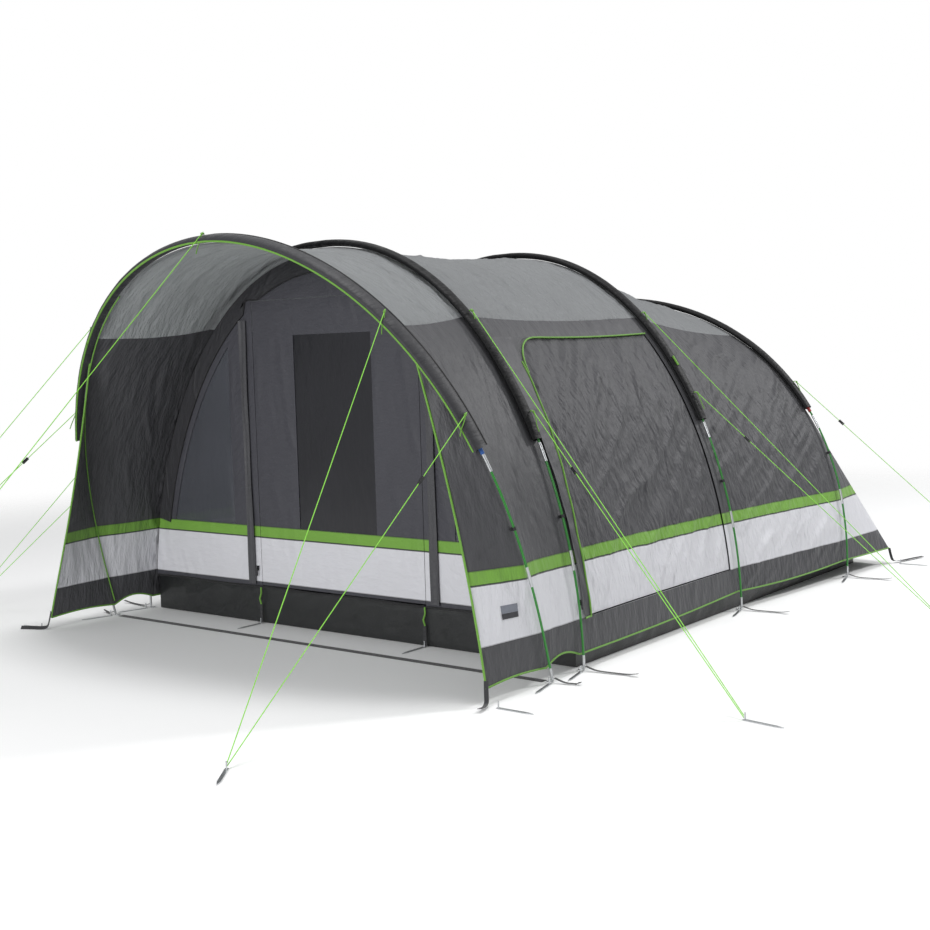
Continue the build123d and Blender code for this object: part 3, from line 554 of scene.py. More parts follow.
flank_rows, rear_rows = tail()
for name, rows, seed in (("rear_flank_right", flank_rows, 31.0), ("rear_flank_left", mirrored(flank_rows), 33.0),
                         ("rear_wall_cloth", rear_rows, 37.0)):
    sewn_panel(name, rows, wall_cloth, "rear_wall", seed, 0.006)

# Green piping is folded into every hem, the wings' front edges and the side door's seam.
PIPING, WING_PIPING, SEAM_PIPING = 0.0045, 0.005, 0.0035
hems = [porch_rows[:, 0], living_rows[:, 0], sleeping_rows[:, 0], flank_rows[:, 0]]
outside = wing_edge + np.array([SEAM_PIPING, 0, 0])
inside = at_heights(arch_curve("porch", FLY_INSET + 0.006), np.linspace(0.09, SEAM["porch"] + 0.2, 60))
for side, label in SIDES:
    for number, line in enumerate(hems, 1):
        tube_along(f"hem_piping_{label}_{number}", on_side(line, side), PIPING, piping_cloth)
    tube_along(f"wing_piping_{label}", on_side(outside, side), WING_PIPING, piping_cloth)
    tube_along(f"porch_seam_piping_{label}", on_side(inside, side), SEAM_PIPING, piping_cloth)
tube_along("hem_piping_rear", rear_rows[0], PIPING, piping_cloth)


# ---------------------------------------------------------------- 4. the pole sleeves
# A sleeve of strong black cloth is sewn over each arch from side to side, and the pole is pushed through it. The porch
# arch has a wider grey one, which is the edge of its peak, piped in green along its front.
SLEEVE_RADIUS, SLEEVE_WIDTH = 0.0165, 0.036


def sleeve(number, arch, shader, before, behind):
    """Slightly flattened tube of cloth over the pole, with small gathers along it. Returns its line and directions."""
    curve = arch_curve(arch, 0.0)
    upper = curve[curve[:, 2] > SLEEVE_END][::9]
    path = np.concatenate([upper, on_side(upper[::-1][1:], -1)])
    y, _, height, lean, _, _ = ARCHES[arch]
    plane_normal = np.array([0, height, -lean]) / math.hypot(height, lean)
    tangent = np.gradient(path, axis=0)
    tangent /= np.linalg.norm(tangent, axis=1, keepdims=True)
    outward = np.cross(plane_normal, tangent)
    outward *= np.where((outward * (path - np.array([0, y, 0.5]))).sum(axis=1, keepdims=True) < 0, -1, 1)
    rows = []
    for i, centre in enumerate(path):
        ring = []
        for k in range(17):
            angle = 2 * math.pi * k / 16 + math.pi
            gather = 1 + 0.05 * noise.noise(Vector((i * 0.55, math.cos(angle) * 2, number * 7 + math.sin(angle) * 2)))
            wide = (behind if math.sin(angle) > 0 else before) * gather
            thick = math.cos(angle) * SLEEVE_RADIUS * gather
            ring.append(centre + outward[i] * thick + plane_normal * math.sin(angle) * wide)
        rows.append(ring)
    rows = np.array(rows)
    piece = cloth_mesh(f"sleeve_{number}_cloth", rows, shader, 0.0010)
    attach(piece, "tent")
    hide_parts(f"pole_sleeve_{number}")
    width, length, area = cut_size(rows)
    return path, outward, plane_normal


black_cloth = taffeta("black_sleeve_cloth", (13, 13, 15), 0.0, 0.5, gloss=0.2)
peak_cloth = taffeta("grey_peak_cloth", (50, 50, 53), 0.0, 0.4, gloss=0.3)
black_trim = trim("black_binding", (14, 14, 16))
path, outward, plane_normal = sleeve(1, "porch", peak_cloth, 0.042, 0.042)
tube_along("peak_piping", path - outward * 0.006 - plane_normal * 0.041, 0.005, piping_cloth)
tube_along("peak_binding", path + outward * 0.010 + plane_normal * 0.036, 0.005, black_trim)
sleeve(2, "front", black_cloth, 0.044, 0.020)
sleeve(3, "middle", black_cloth, SLEEVE_WIDTH, SLEEVE_WIDTH)
sleeve(4, "rear", black_cloth, SLEEVE_WIDTH, SLEEVE_WIDTH)

# A green tab on the third sleeve holds the rolled side door.
tab_point = at_heights(arch_curve("middle", -0.016), np.array([1.33, 1.355, 1.38]))
for side, label in SIDES:
    tab_line = on_side(tab_point + np.array([0.004, -0.012, 0]), side)
    tube_along(f"roll_tab_{label}", tab_line, 0.006, piping_cloth)

# A blue tape ring marks the ends of the first sleeve, and a red one the ends of the last.
for arch, color in (("porch", (24, 74, 140)), ("rear", (140, 30, 28))):
    ring_cloth = trim(f"{arch}_marker_tape", color)
    ring_line = at_heights(arch_curve(arch, 0.0), np.linspace(SLEEVE_END - 0.022, SLEEVE_END + 0.004, 4))
    for side, label in SIDES:
        tube_along(f"{arch}_sleeve_marker_{label}", on_side(ring_line, side), 0.0095, ring_cloth)


# ---------------------------------------------------------------- 5. the front wall
# A flat wall of charcoal cloth hangs inside the second arch, sewn to the fly along its curve. It has a curved window of
# smoked film on each side, and a doorway between two zips.
WALL_Y = ARCHES["front"][0] + 0.025
WALL_INSET = 0.036
SILL = 0.200
DOOR_HALF, FRONT_DOOR_TOP = 0.575, 1.740
WALL_STEP = 0.022
front_cloth = taffeta("slate_taffeta", (67, 67, 73), 1.4, 0.45, bands=BANDS)


def wall_top(widths):
    """Height of the wall's curved edge at the given distances from the middle."""
    return at_widths(arch_curve("front", WALL_INSET), np.abs(widths))[:, 2]


def upright_panel(name, left, right, low, high, node, shader, seed, depth=0.0, amount=0.004,
                  body="tent"):
    """Hanging cloth across the tent. low and high are heights, or functions of the width."""
    across = max(int((right - left) / WALL_STEP), 3)
    widths = np.linspace(left, right, across + 1)
    bottom = low(widths) if callable(low) else np.full(len(widths), low)
    top = high(widths) if callable(high) else np.full(len(widths), high)
    up = max(int((top.max() - bottom.min()) / WALL_STEP), 3)
    levels = np.linspace(0, 1, up + 1)[:, None]
    z = bottom + (top - bottom) * levels
    rows = np.stack([np.broadcast_to(widths, z.shape), np.full(z.shape, WALL_Y + depth), z], 2)
    sewn_panel(name, rows[::-1], shader, node, seed, amount, 1.5, 0.3, body)


WINDOW_IN, WINDOW_INSET = 0.770, 0.170
wall_curve, window_curve = arch_curve("front", WALL_INSET), arch_curve("front", WINDOW_INSET)
window_top = float(at_widths(window_curve, np.array([WINDOW_IN]))[0, 2])


def curved_panel(name, side, inner, outer, low, high, node, shader, seed, depth=0.0, amount=0.003):
    """Hanging cloth between the window's upright edge, or the inner curve, and the outer curve."""
    heights = np.linspace(low, high, max(int((high - low) / 0.03), 3) + 1)
    a = at_heights(inner, heights)[:, 0] if inner is not None else np.full(len(heights), WINDOW_IN)
    b = at_heights(outer, heights)[:, 0]
    x = side * (a[:, None] + (b - a)[:, None] * np.linspace(0, 1, 15))
    rows = np.stack([x, np.full(x.shape, WALL_Y + depth), np.broadcast_to(heights[:, None], x.shape)], 2)
    rows = rows[::-1] if side > 0 else rows
    sewn_panel(name, rows, shader, node, seed, amount)


def window_film(name, color, rough, alpha, coat, depth, strength):
    """Clear vinyl, tinted and slightly rippled. On the door, a dark and nearly opaque tint also stands in for painted
    shade of the inside.
    """
    shader = Shader(name, Roughness=rough, Alpha=alpha, Coat_Weight=coat)
    shader.feed("Base Color", wear(shader, rgb(*color), 0.2, 3.0))
    ripples = shader.noise(shader.stretch(shader.place(), 9, 9, 3), 1.0, 4.0)
    shader.feed("Normal", shader.bump(ripples, depth, strength))
    return shader


film = window_film("smoked_window_film", (80, 82, 88), 0.2, 0.80, 0.3, 0.02, 0.7)
high_end = float(wall_top(np.array([WINDOW_IN]))[0]) - 0.001
for side, label in SIDES:
    left, right = sorted((side * DOOR_HALF, side * WINDOW_IN))
    upright_panel(f"front_wall_post_{label}", left, right, SILL, wall_top, "front_wall", front_cloth, 41 + side)
    for part, inner, low, high, seed in (("outer", window_curve, GREEN_HIGH, window_top, 43),
                                         ("low", None, SILL, GREEN_HIGH, 45), ("high", None, window_top, high_end, 47)):
        curved_panel(f"front_wall_{part}_{label}", side, inner, wall_curve, low, high, "front_wall", front_cloth,
                     seed + side)
    curved_panel(f"window_film_{label}", side, None, window_curve, GREEN_HIGH, window_top, f"window_{label}", film,
                 49 + side, 0.004, 0.002)
upright_panel("front_wall_head", -DOOR_HALF, DOOR_HALF, FRONT_DOOR_TOP, wall_top, "front_wall", front_cloth, 51)

# The rim of the wall is a wide doubled strip that follows the arch, bound in black, with a green toggle at its crown.
RIM_WIDTH = 0.095
rim_cloth = taffeta("charcoal_rim_cloth", (50, 50, 53), 1.4, 0.5)
rim_lines = [arch_curve("front", WALL_INSET + width) for width in np.linspace(0, RIM_WIDTH, 6)]
rim_heights = rim_lines[0][:, 2] > GREEN_HIGH
right_rim = np.array([line[rim_heights][::6] for line in rim_lines])
rim = np.concatenate([right_rim, on_side(right_rim[:, ::-1][:, 1:], -1)], axis=1)
rim[:, :, 1] = WALL_Y - 0.004
over_door = np.abs(rim[:, :, 0]) < DOOR_HALF + 0.050
rim[:, :, 2] = np.where(over_door, np.maximum(rim[:, :, 2], FRONT_DOOR_TOP + 0.004), rim[:, :, 2])
sewn_panel("front_wall_rim", rim, rim_cloth, "front_wall")
tube_along("front_wall_rim_binding", rim[-1] + np.array([0, -0.002, 0]), 0.003, black_trim)
crown = float(rim[0, :, 2].max())
toggle_line = [(0, WALL_Y - 0.010, crown - 0.012), (0.004, WALL_Y - 0.016, crown - 0.05),
               (0, WALL_Y - 0.012, crown - 0.085)]
tube_along("crown_toggle_loop", toggle_line, 0.005, piping_cloth)


# ---------------------------------------------------------------- 6. the doors
# The front door hangs between two zips, each covered by a gathered storm flap. Its window is film, dark and nearly
# opaque:
# partly its own tint, partly painted shade of the dark inside behind it. It swings on its right seam. The side door is
# one sheet with a zip along its leading edge and its sill.
DOOR_EDGE, DOOR_WINDOW, DOOR_WINDOW_TOP = DOOR_HALF - 0.003, 0.27, 1.55
door_foot, door_head = SILL + 0.008, FRONT_DOOR_TOP - 0.003
door_parts = (("left", -DOOR_EDGE, -DOOR_WINDOW, door_foot, door_head),
              ("right", DOOR_WINDOW, DOOR_EDGE, door_foot, door_head),
              ("head", -DOOR_WINDOW, DOOR_WINDOW, DOOR_WINDOW_TOP, door_head),
              ("foot", -DOOR_WINDOW, DOOR_WINDOW, door_foot, GREEN_HIGH))
for seed, (part, left, right, low, high) in enumerate(door_parts, 61):
    upright_panel(f"front_door_{part}", left, right, low, high, "front_door", front_cloth, seed, body="front_door")
# The door's film is near black and nearly opaque: partly its own tint, partly painted shade of the dark inside behind
# it.
door_film_and_painted_shade = window_film("door_film_tint_and_painted_shade", (30, 30, 35), 0.3, 0.94, 0.1, 0.014, 0.6)
upright_panel("front_door_film", -DOOR_WINDOW, DOOR_WINDOW, GREEN_HIGH, DOOR_WINDOW_TOP, "front_door_window", door_film_and_painted_shade,
              71, 0.003, 0.002, "front_door")

flap_cloth = taffeta("charcoal_flap_cloth", (72, 72, 75), 1.4, 0.5)
FLAP_X, FLAP_HALF = 0.640, 0.021


def storm_flap(label, side):
    """Gathered strip that hangs over a zip in loose vertical folds."""
    rim_above = at_widths(rim_lines[-1], np.array([FLAP_X + 0.025]))[0, 2]
    heights = np.linspace(float(rim_above) - 0.006, SILL + 0.012, 60)
    widths = np.linspace(-FLAP_HALF, FLAP_HALF, 25)
    rows = []
    for z in heights:
        folds = np.array([0.0050 * noise.noise(Vector((width * 55, z * 3.5, side * 4.0))) for width in widths])
        sway = 0.0015 * math.sin(z * 4.3 + side)
        x = side * FLAP_X + widths * (1.15 + 0.12 * math.sin(z * 5)) + sway
        rows.append(np.stack([x, WALL_Y - 0.0125 + folds, np.full(len(widths), z)], 1))
    sewn_panel(f"storm_flap_{label}", np.array(rows), flap_cloth, "front_door_flaps")


for side, label in SIDES:
    storm_flap(label, side)

# The side door closes the living bay's right side.
DOOR_GAP = 0.004
door_cloth = taffeta("charcoal_taffeta_creased", CHARCOAL, 0.65, 0.9, gloss=0.25, bands=BANDS)
side_door_rows = side_strip(DOOR_FRONT + DOOR_GAP, BAY - DOOR_REAR - DOOR_GAP, SKIRT_TOP + DOOR_GAP,
                            DOOR_TOP - DOOR_GAP, 92, 84) - np.array([0.007, 0, 0])
side_door = sewn_panel("side_door_cloth", side_door_rows, door_cloth, "side_door", 73.0, 0.0065, 0.75, 1.5)
side_door.select_set(True)
bpy.context.view_layer.objects.active = side_door
bpy.ops.object.modifier_apply(modifier="cloth")
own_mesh(side_door)


# The door's leading edge is a flap that covers its zip, piped in green, wider towards its rounded top.
def flap_edge(heights):
    """How far behind the front arch the flap ends."""
    rounded = np.clip((heights - (DOOR_TOP - 0.17)) / 0.166, 0, 1)
    return (0.094 + 0.105 * np.clip((heights - 0.55) / 0.9, 0, 1) ** 1.3
            + 0.036 * (1 - np.sqrt(1 - rounded ** 2)))


FLAP_START, FLAP_INSET = 0.040, 0.004
flap_heights = np.linspace(SKIRT_TOP + DOOR_GAP, DOOR_TOP - DOOR_GAP, 110)
flap_curves = [at_heights(arch_curve(arch, FLAP_INSET), flap_heights) for arch in ("front", "middle")]
flap = []
for step in np.linspace(0, 1, 14):
    share = ((FLAP_START + (flap_edge(flap_heights) - FLAP_START) * step) / BAY)[:, None]
    row = drawn_in(flap_curves[0] + (flap_curves[1] - flap_curves[0]) * share, share[:, 0])
    row[:, 0] += 0.0015 * np.sin(flap_heights * 31 + step * 5)
    flap.append(row)
flap = np.array(flap)
sewn_panel("side_door_flap", flap, flap_cloth, "side_door_edge", body="side_door_edge")
piped = flap[-1][flap_heights < DOOR_TOP - 0.12]
flap_line = np.concatenate([piped[::-1], flap[::-1][1:, 0]]) + np.array([0.002, 0, 0])
tube_along("side_door_flap_piping", flap_line, PIPING, piping_cloth, body="side_door_edge")

# The opening's top front corner is rounded: a fixed gusset fills it, and the piping follows its edge.
CORNER_REACH, CORNER_START, CORNER_DROP = 0.47, 0.212, 0.21
gusset_reach = np.linspace(DOOR_FRONT, CORNER_REACH, 46)
gusset = []
for distance in gusset_reach:
    round_share = min(max((CORNER_REACH - distance) / (CORNER_REACH - CORNER_START), 0), 1)
    low = DOOR_TOP - 0.001 - CORNER_DROP * (1 - math.sqrt(1 - round_share ** 2))
    heights = np.linspace(low, DOOR_TOP, 12)
    legs = [at_heights(arch_curve(arch, FLY_INSET - 0.001), heights) for arch in ("front", "middle")]
    gusset.append(between(*legs, distance / BAY))
gusset = np.array(gusset)
sewn_panel("side_door_gusset", gusset, wall_cloth, "living_side_right")
corner_line = gusset[:, 0][gusset_reach >= CORNER_START]
top_line = side_strip(CORNER_REACH, BAY - DOOR_REAR, DOOR_TOP, DOOR_TOP + 0.01, 44, 2)[:, 0]
top_line = np.concatenate([corner_line, top_line[1:]]) + np.array([0.004, 0, 0.002])
tube_along("side_door_top_piping", top_line, PIPING, piping_cloth)


# ---------------------------------------------------------------- 7. sliders, clips, loops and pegs
# Zip sliders of cast metal, painted black, moulded nylon clips that hook the fly to the bare poles, sewn webbing, and
# bent steel pegs. They are the CAD nodes, with their finishes added here.
cast_black = Shader("black_zip_metal", Metallic=0.8)
cast_black.feed("Base Color", wear(cast_black, rgb(40, 40, 42), 0.3, 200.0))
cast_black.feed("Roughness", 0.35 + cast_black.noise(cast_black.place(), 300.0) * 0.2)
moulded = Shader("black_moulded_nylon")
moulded.feed("Base Color", wear(moulded, rgb(28, 28, 30), 0.2, 90.0))
moulded.feed("Roughness", 0.42 + moulded.noise(moulded.place(), 500.0) * 0.15)
for node in ("front_zip_slider", "side_zip_slider"):
    finish_node(node, cast_black)
finish_node("pole_clips", moulded)

webbing = Shader("black_webbing", Sheen_Weight=0.2)
webbing.feed("Base Color", wear(webbing, rgb(38, 38, 41), 0.2, 40.0))
wx, wy, _ = webbing.parts(webbing.place())
ribs = (wx * 1800).sine() * (wy * 1800).sine()
webbing.feed("Roughness", 0.7 + ribs * 0.1)
webbing.feed("Normal", webbing.bump(ribs, 0.0006, 0.6))
for node in ("front_ground_strap", "cabin_hangers"):
    finish_node(node, webbing)
finish_node("guy_loops", piping_cloth)
for node in ("wall_pegs", "guy_pegs"):
    finish_node(node, steel)


# ---------------------------------------------------------------- 8. groundsheet and sleeping cabin
# A tray of woven polyethylene lies on the ground, its walls turned up and bound in black at the sill. Behind the living
# space hangs a cabin of dark breathable cloth, on toggles under the arches.
tarpaulin = Shader("woven_polyethylene", Coat_Weight=0.2)
tarpaulin.feed("Base Color", wear(tarpaulin, rgb(20, 22, 23), 0.25, 5.0))
gx, gy, gz = tarpaulin.parts(tarpaulin.place())
tapes = ((gx + gz) * 1400).sine() * ((gy + gz) * 1400).sine()
dents = tarpaulin.noise(tarpaulin.place(), 6.0, 4.0)
tarpaulin.feed("Roughness", 0.34 + dents * 0.2)
tarpaulin_fine = tarpaulin.bump(tapes, 0.0004, 0.5)
tarpaulin.feed("Normal", tarpaulin.add("ShaderNodeBump", None,
                                       {"Height": dents, "Distance": 0.012, "Strength": 0.6, "Normal": tarpaulin_fine}))
TRAY_HALF, TRAY_FRONT, TRAY_REAR, TRAY_WALL, TRAY_LIFT = 1.440, WALL_Y, 1.880, 0.120, 0.003


def tray_wall(name, start, end, top=TRAY_WALL, amount=0.007):
    """Upright side of the tray, with the dents of folded sheet."""
    count = int(math.dist(start, end) / 0.025)
    shares = np.linspace(0, 1, count)[:, None, None]
    base = np.array([*start, 0.0]) + (np.array([*end, 0.0]) - np.array([*start, 0.0])) * shares
    rows = np.broadcast_to(base, (count, 13, 3)).copy()
    rows[:, :, 2] = TRAY_LIFT + (top - TRAY_LIFT) * np.linspace(0, 1, 13)
    sewn_panel(name, rows, tarpaulin, "groundsheet", len(name), amount, 0.9)


tray_wall("tray_front", (-TRAY_HALF, TRAY_FRONT), (TRAY_HALF, TRAY_FRONT), SILL - 0.003, 0.006)
tray_wall("tray_right", (TRAY_HALF, TRAY_FRONT + 0.002), (TRAY_HALF, TRAY_REAR))
tray_wall("tray_left", (-TRAY_HALF, TRAY_REAR), (-TRAY_HALF, TRAY_FRONT + 0.002))
tray_wall("tray_rear", (TRAY_HALF - 0.002, TRAY_REAR), (0.002 - TRAY_HALF, TRAY_REAR))
floor_x, floor_y = np.meshgrid(np.linspace(-TRAY_HALF, TRAY_HALF, 70), np.linspace(TRAY_FRONT, TRAY_REAR, 80))
floor_rows = np.stack([floor_x, floor_y, np.full(floor_x.shape, 0.004)], 2)
floor_rows[:, :, 2] += np.abs(creases(floor_rows, 21.0, 0.005, 0.4, 0.5)[:, :, 2] - 0.004) * 0.6
sewn_panel("tray_floor", floor_rows[::-1], tarpaulin, "groundsheet")
sill_line = [(x, WALL_Y - 0.004, SILL - 0.002 + 0.002 * math.sin(x * 9))
             for x in np.linspace(-TRAY_HALF, TRAY_HALF, 80)]
tube_along("sill_binding", sill_line, 0.006, black_trim)


# Black webbing runs from each foot and corner to its peg, and trails beyond it.
def webbing_strip(name, points, width, flat=(0, 0, 1)):
    """Strip through points, its width square to its run and to the given direction."""
    points = np.array(points, float)
    fine = np.linspace(0, len(points) - 1, 6 * (len(points) - 1) + 1)
    stations = np.arange(len(points))
    path = np.stack([np.interp(fine, stations, points[:, axis]) for axis in range(3)], 1)
    for _ in range(6):
        path[1:-1] = (path[:-2] + path[2:] + 2 * path[1:-1]) / 4
    run = np.gradient(path, axis=0)
    sideways = np.cross(np.array(flat, float), run)
    sideways /= np.linalg.norm(sideways, axis=1, keepdims=True)
    steps = np.linspace(-0.5, 0.5, 4)
    rows = path[:, None, :] + sideways[:, None, :] * (steps * width)[None, :, None]
    piece = cloth_mesh(name, rows, webbing, 0.0016)
    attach(piece, "tent")
    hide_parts("peg_straps")


for arch, (y, span, *_) in ARCHES.items():
    for side, label in SIDES:
        reach = 0.110 if arch == "porch" else 0.245
        trail = [(0.010, 0.0, 0.022), (0.060, 0.004, 0.006), (0.4 * reach + 0.05, 0.012, 0.006),
                 (0.75 * reach + 0.03, 0.026, 0.004), (reach + 0.02, 0.016, 0.016)]
        webbing_strip(f"{arch}_foot_strap_{label}", [(side * (span + dx), y + dy, z) for dx, dy, z in trail], 0.016)
for side, label in SIDES:
    for corner, turn in ((WING_CORNER, -1), (REAR_CORNER, 1)):
        name = f"{'wing' if turn < 0 else 'rear'}_corner_strap_{label}"
        trail = [(0.004, 0, 0.100), (0.012, 0.008, 0.050), (0.022, 0.014, 0.014), (0.060, 0.030, 0.008),
                 (0.110, 0.052, 0.010), (0.170, 0.080, 0.009)]
        if turn > 0:
            trail = trail[:3] + [(0.050, 0.090, 0.008), (0.080, 0.210, 0.010), (0.110, 0.325, 0.009)]
        if turn < 0 < side:
            trail = [(0.004, 0, 0.100), (0.008, 0.006, 0.050), (0.012, 0.010, 0.014), (0.030, 0.050, 0.008),
                     (0.050, 0.110, 0.018)]
        points = [(side * (corner[0] + dx), corner[1] + turn * dy, z) for dx, dy, z in trail]
        webbing_strip(name, points, 0.020, flat=(0.3 * side, turn, 0.5))
    sill_x = side * DOOR_HALF
    loop = [(sill_x + dx, WALL_Y - 0.012 + dy, z) for dx, dy, z in
            ((0, 0, 0.196), (0.006, -0.006, 0.165), (-0.005, -0.008, 0.135), (0.004, -0.006, 0.105))]
    tube_along(f"sill_loop_{label}", loop, 0.005, piping_cloth)
    webbing_strip(f"sill_strap_{label}", [(sill_x, WALL_Y - 0.014, 0.112), (sill_x, WALL_Y - 0.018, 0.060),
                                          (sill_x + 0.006, WALL_Y - 0.022, 0.006)], 0.018, flat=(0, 1, 0))

cabin_cloth = taffeta("cabin_cloth", (88, 88, 92), 0.5, 0.6)
CABIN_DOOR = 0.52


def cabin_shell():
    """The cabin's sides and roof, a hand's width inside the fly."""
    curves = [arch_curve(arch, 0.130) for arch in ("middle", "rear")]
    rows = []
    for share in np.linspace(0.06, 0.95, 24):
        half = []
        for curve in curves:
            kept = curve[curve[:, 2] >= 0.135]
            length = np.concatenate([[0], np.cumsum(np.linalg.norm(np.diff(kept, axis=0), axis=1))])
            even = np.linspace(0, length[-1], 34)
            half.append(np.stack([np.interp(even, length, kept[:, axis]) for axis in range(3)], 1))
        right = half[0] + (half[1] - half[0]) * share
        rows.append(np.concatenate([right, on_side(right[::-1][1:], -1)]))
    return np.array(rows)


cabin_rows = cabin_shell()
sewn_panel("cabin_shell_cloth", cabin_rows, cabin_cloth, "sleeping_cabin", 83.0, 0.006)


def cabin_end(name, outline, y, spans):
    """End wall of the cabin, in strips between widths, each from its own height up to the cabin's outline."""
    right = outline[outline[:, 0] >= -1e-6]

    def top(widths):
        return np.interp(np.abs(widths), right[::-1, 0], right[::-1, 2]) - 0.004

    reach = float(right[:, 0].max()) - 0.02
    for part, start, end, low, seed in spans:
        upright_panel(f"{name}_{part}", max(start, -reach), min(end, reach), low, top, "sleeping_cabin", cabin_cloth,
                      seed, y - WALL_Y)


front_y = ARCHES["middle"][0] + 0.067
cabin_end("cabin_front", cabin_rows[0], front_y, (("1", -9, -CABIN_DOOR, 0.137, 86), ("2", CABIN_DOOR, 9, 0.137, 87),
                                                  ("head", -CABIN_DOOR, CABIN_DOOR, 1.42, 89)))
cabin_end("cabin_rear", cabin_rows[-1], float(cabin_rows[-1][:, 1].mean()), (("1", -9, 9, 0.137, 86),))
upright_panel("cabin_door_cloth", 0.003 - CABIN_DOOR, CABIN_DOOR - 0.003, 0.141, 1.417, "cabin_door", cabin_cloth, 91,
              front_y - WALL_Y, body="cabin_door")

# A plain woven patch is sewn on the porch side's light band.
patch_cloth = trim("grey_patch", (112, 116, 126))
patch_low = trim("dark_patch", (44, 44, 50))
for label, low, high, shader in (("upper", 0.342, 0.375, patch_cloth), ("lower", 0.318, 0.341, patch_low)):
    rows = []
    for y in np.linspace(-1.975, -1.885, 5):
        heights = np.linspace(low, high, 4)
        near = np.array([porch_rows[:, np.abs(porch_rows[0, :, 2] - height).argmin()] for height in heights])
        across = np.array([np.interp(y, line[:, 1], line[:, 0]) for line in near])
        rows.append(np.stack([across + 0.006, np.full(4, y), heights], 1))
    sewn_panel(f"label_patch_{label}", np.array(rows), shader, "porch_side_right")


# ---------------------------------------------------------------- 9. guy lines
# Bright green braided cord, pulled tight from a loop on the sleeve to a steel peg, with a runner on the lower line of
# each pair.
CORD = 0.004
braid = Shader("green_braided_cord", Sheen_Weight=0.2)
braid.feed("Base Color", wear(braid, rgb(132, 208, 62), 0.2, 300.0))
bx, by, bz = braid.parts(braid.place())
plait = ((bx + bz) * 1500).sine() * ((by - bz) * 1500).sine()
braid.feed("Roughness", 0.55 + plait * 0.12)
braid.feed("Normal", braid.bump(plait, 0.0005, 0.6))


def guy_ends(arch, side, height, peg, order, count):
    """Start of a line on its loop and its end at the peg's hook, worked out from the arch and the peg."""
    curve = arch_curve(arch, 0.0)
    y, _, tall, lean, _, _ = ARCHES[arch]
    if side == 0:
        centre = curve[-1]
        normal = np.array([0, lean, tall]) / math.hypot(lean, tall)
    else:
        centre, low, high = at_heights(curve, np.array([height, height - 0.005, height + 0.005]))
        normal = np.cross(high - low, np.array([0, tall, -lean]))
        normal *= np.sign(normal[0]) / np.linalg.norm(normal)
        centre, normal = on_side(centre, side), on_side(normal, side)
    away = np.array([peg[0], peg[1] - y, 0])
    away /= np.linalg.norm(away)
    end = np.array([peg[0], peg[1], 0.009 + 0.009 * (count - 1 - order)]) - away * 0.0055
    return centre + normal * 0.032, end


# Each line's arch and side, the heights of its loops, and where its peg stands.
GUY_PLAN = {
    "porch_centre": ("porch", 0, (1.985,), (-0.45, -4.00)),
    "porch_right": ("porch", 1, (1.60, 1.17), (1.20, -3.30)),
    "porch_left": ("porch", -1, (1.60, 1.17), (-1.84, -3.26)),
    "front_right": ("front", 1, (1.61, 1.15), (2.45, -1.80)),
    "front_left": ("front", -1, (1.61, 1.15), (-2.40, -2.10)),
    "middle_right": ("middle", 1, (1.61, 1.17), (2.42, 0.50)),
    "middle_left": ("middle", -1, (1.61, 1.17), (-2.42, 0.50)),
    "rear_right": ("rear", 1, (1.18,), (2.45, 1.80)),
    "rear_left": ("rear", -1, (1.18,), (-2.45, 1.80)),
}


def guy_tab(name, number, start, end):
    """Green tape loop that joins the line to the sleeve, with its knot and a short hanging tail."""
    towards = (end - start) / np.linalg.norm(end - start)
    lump = start + towards * 0.012
    bpy.ops.mesh.primitive_uv_sphere_add(segments=12, ring_count=8, radius=0.0065, location=lump)
    knot = bpy.context.object
    knot.name = f"knot_{name}_{number}"
    bpy.ops.object.transform_apply(location=True)
    bpy.ops.object.shade_smooth()
    knot.data.materials.append(piping_cloth.material)
    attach(knot, "tent")
    sideways = np.array([-towards[1], towards[0], 0.0])
    tail = [lump + towards * (0.010 * k) + sideways * (0.004 * math.sin(k * 1.3)) - np.array([0, 0, 0.011 * k])
            for k in range(6)]
    tube_along(f"tail_{name}_{number}", tail, 0.0025, piping_cloth)


def guy_line(name, number, start, end, runner):
    data = bpy.data.curves.new(f"line_{name}_{number}", "CURVE")
    data.dimensions = "3D"
    data.bevel_depth = CORD / 2
    data.bevel_resolution = 3
    line = data.splines.new("NURBS")
    shares = (0.0, 0.02, 0.98, 1.0)
    line.points.add(len(shares) - 1)
    for point, share in zip(line.points, shares):
        point.co = (*(start + (end - start) * share), 1.0)
    line.order_u = 3
    line.use_endpoint_u = True
    data.materials.append(braid.material)
    piece = bpy.data.objects.new(data.name, data)
    bpy.context.collection.objects.link(piece)
    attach(piece, "tent")
    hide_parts(f"guy_{name}")
    on_it = ["guy_pegs"] + ([f"runner_{name}"] if runner else [])
    float(np.linalg.norm(end - start))


for name, (arch, side, heights, peg) in GUY_PLAN.items():
    for order, height in enumerate(heights):
        start, end = guy_ends(arch, side, height, peg, order, len(heights))
        has_runner = name != "porch_centre" and order == len(heights) - 1
        guy_line(name, order + 1, start, end, has_runner)
        guy_tab(name, order + 1, start, end)
        if has_runner:
            finish_node(f"runner_{name}", moulded)


# ---------------------------------------------------------------- 10. floor, light and camera
# The tent stands on a plain pale floor that fades into a white backdrop, under three large soft lights, with the key
# light behind it on its right. The camera stands low, at the front right corner.
bpy.ops.mesh.primitive_plane_add(size=600, location=(0, 0, -0.001))
floor = bpy.context.object
floor.name = "floor"
pale = Shader("pale_floor", Roughness=0.9)
pale.surface.inputs["Base Color"].default_value = (0.92, 0.92, 0.92, 1)
fx, fy, _ = pale.parts(pale.place())
distance = (fx * fx + fy * fy) ** 0.5
pale.feed("Alpha", pale.add("ShaderNodeMapRange", {"interpolation_type": "SMOOTHSTEP"},
                            {0: distance, 1: 4.0, 2: 9.0, 3: 1.0, 4: 0.0}))
floor.data.materials.append(pale.material)

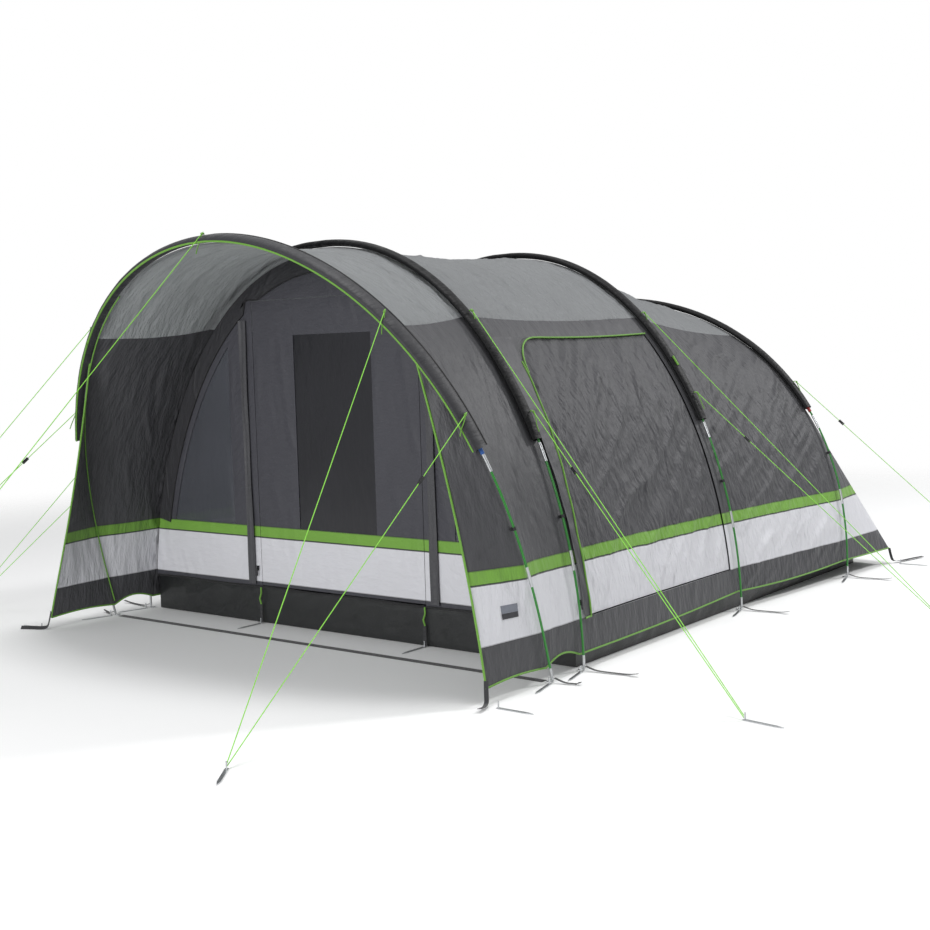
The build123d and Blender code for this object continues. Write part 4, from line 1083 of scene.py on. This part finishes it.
world = bpy.data.worlds.new("studio")
bpy.context.scene.world = world
world.use_nodes = True
tree = world.node_tree
backdrop, lighting = tree.nodes["Background"], tree.nodes.new("ShaderNodeBackground")
backdrop.inputs["Strength"].default_value = 1.0
backdrop.inputs["Color"].default_value = (1.0, 1.0, 1.0, 1.0)
lighting.inputs["Strength"].default_value = 0.46
lighting.inputs["Color"].default_value = (0.98, 0.99, 1.0, 1.0)
path_kind, choice = tree.nodes.new("ShaderNodeLightPath"), tree.nodes.new("ShaderNodeMixShader")
tree.links.new(path_kind.outputs["Is Camera Ray"], choice.inputs[0])
tree.links.new(lighting.outputs[0], choice.inputs[1])
tree.links.new(backdrop.outputs[0], choice.inputs[2])
tree.links.new(choice.outputs[0], tree.nodes["World Output"].inputs[0])


def softbox(name, place, aim, size, power):
    """Square area light turned towards a point."""
    data = bpy.data.lights.new(name, "AREA")
    data.size, data.energy = size, power
    lamp = bpy.data.objects.new(name, data)
    lamp.location = place
    lamp.rotation_euler = (Vector(aim) - Vector(place)).to_track_quat("-Z", "Y").to_euler()
    bpy.context.collection.objects.link(lamp)


softbox("key", (6.0, 7.0, 7.0), (0, 0, 0.8), 1.3, 520)
softbox("crown", (1.0, -1.0, 9.0), (0, -0.5, 0.8), 2.0, 330)
softbox("front", (1.5, -10.0, 3.0), (0, -1.4, 0.8), 3.0, 420)

CAMERA_PLACE = (4.648, -6.328, 1.425)
AZIMUTH, PITCH, ROLL = 0.6602, 0.0841, -0.0297
forward = Vector((-math.sin(AZIMUTH) * math.cos(PITCH), math.cos(AZIMUTH) * math.cos(PITCH), -math.sin(PITCH)))
right = Vector((math.cos(AZIMUTH), math.sin(AZIMUTH), 0))
up = right.cross(forward)
across = right * math.cos(ROLL) + up * math.sin(ROLL)
upward = up * math.cos(ROLL) - right * math.sin(ROLL)
camera_data = bpy.data.cameras.new("camera")
camera_data.lens = 1316.0 * 36 / 930
camera_data.sensor_width = 36
camera_data.clip_end = 200
camera = bpy.data.objects.new("camera", camera_data)
rotation = Matrix((across, upward, -forward)).transposed()
camera.matrix_world = Matrix.Translation(CAMERA_PLACE) @ rotation.to_4x4()
bpy.context.collection.objects.link(camera)
bpy.context.scene.camera = camera
bpy.context.scene.view_settings.view_transform = "Standard"
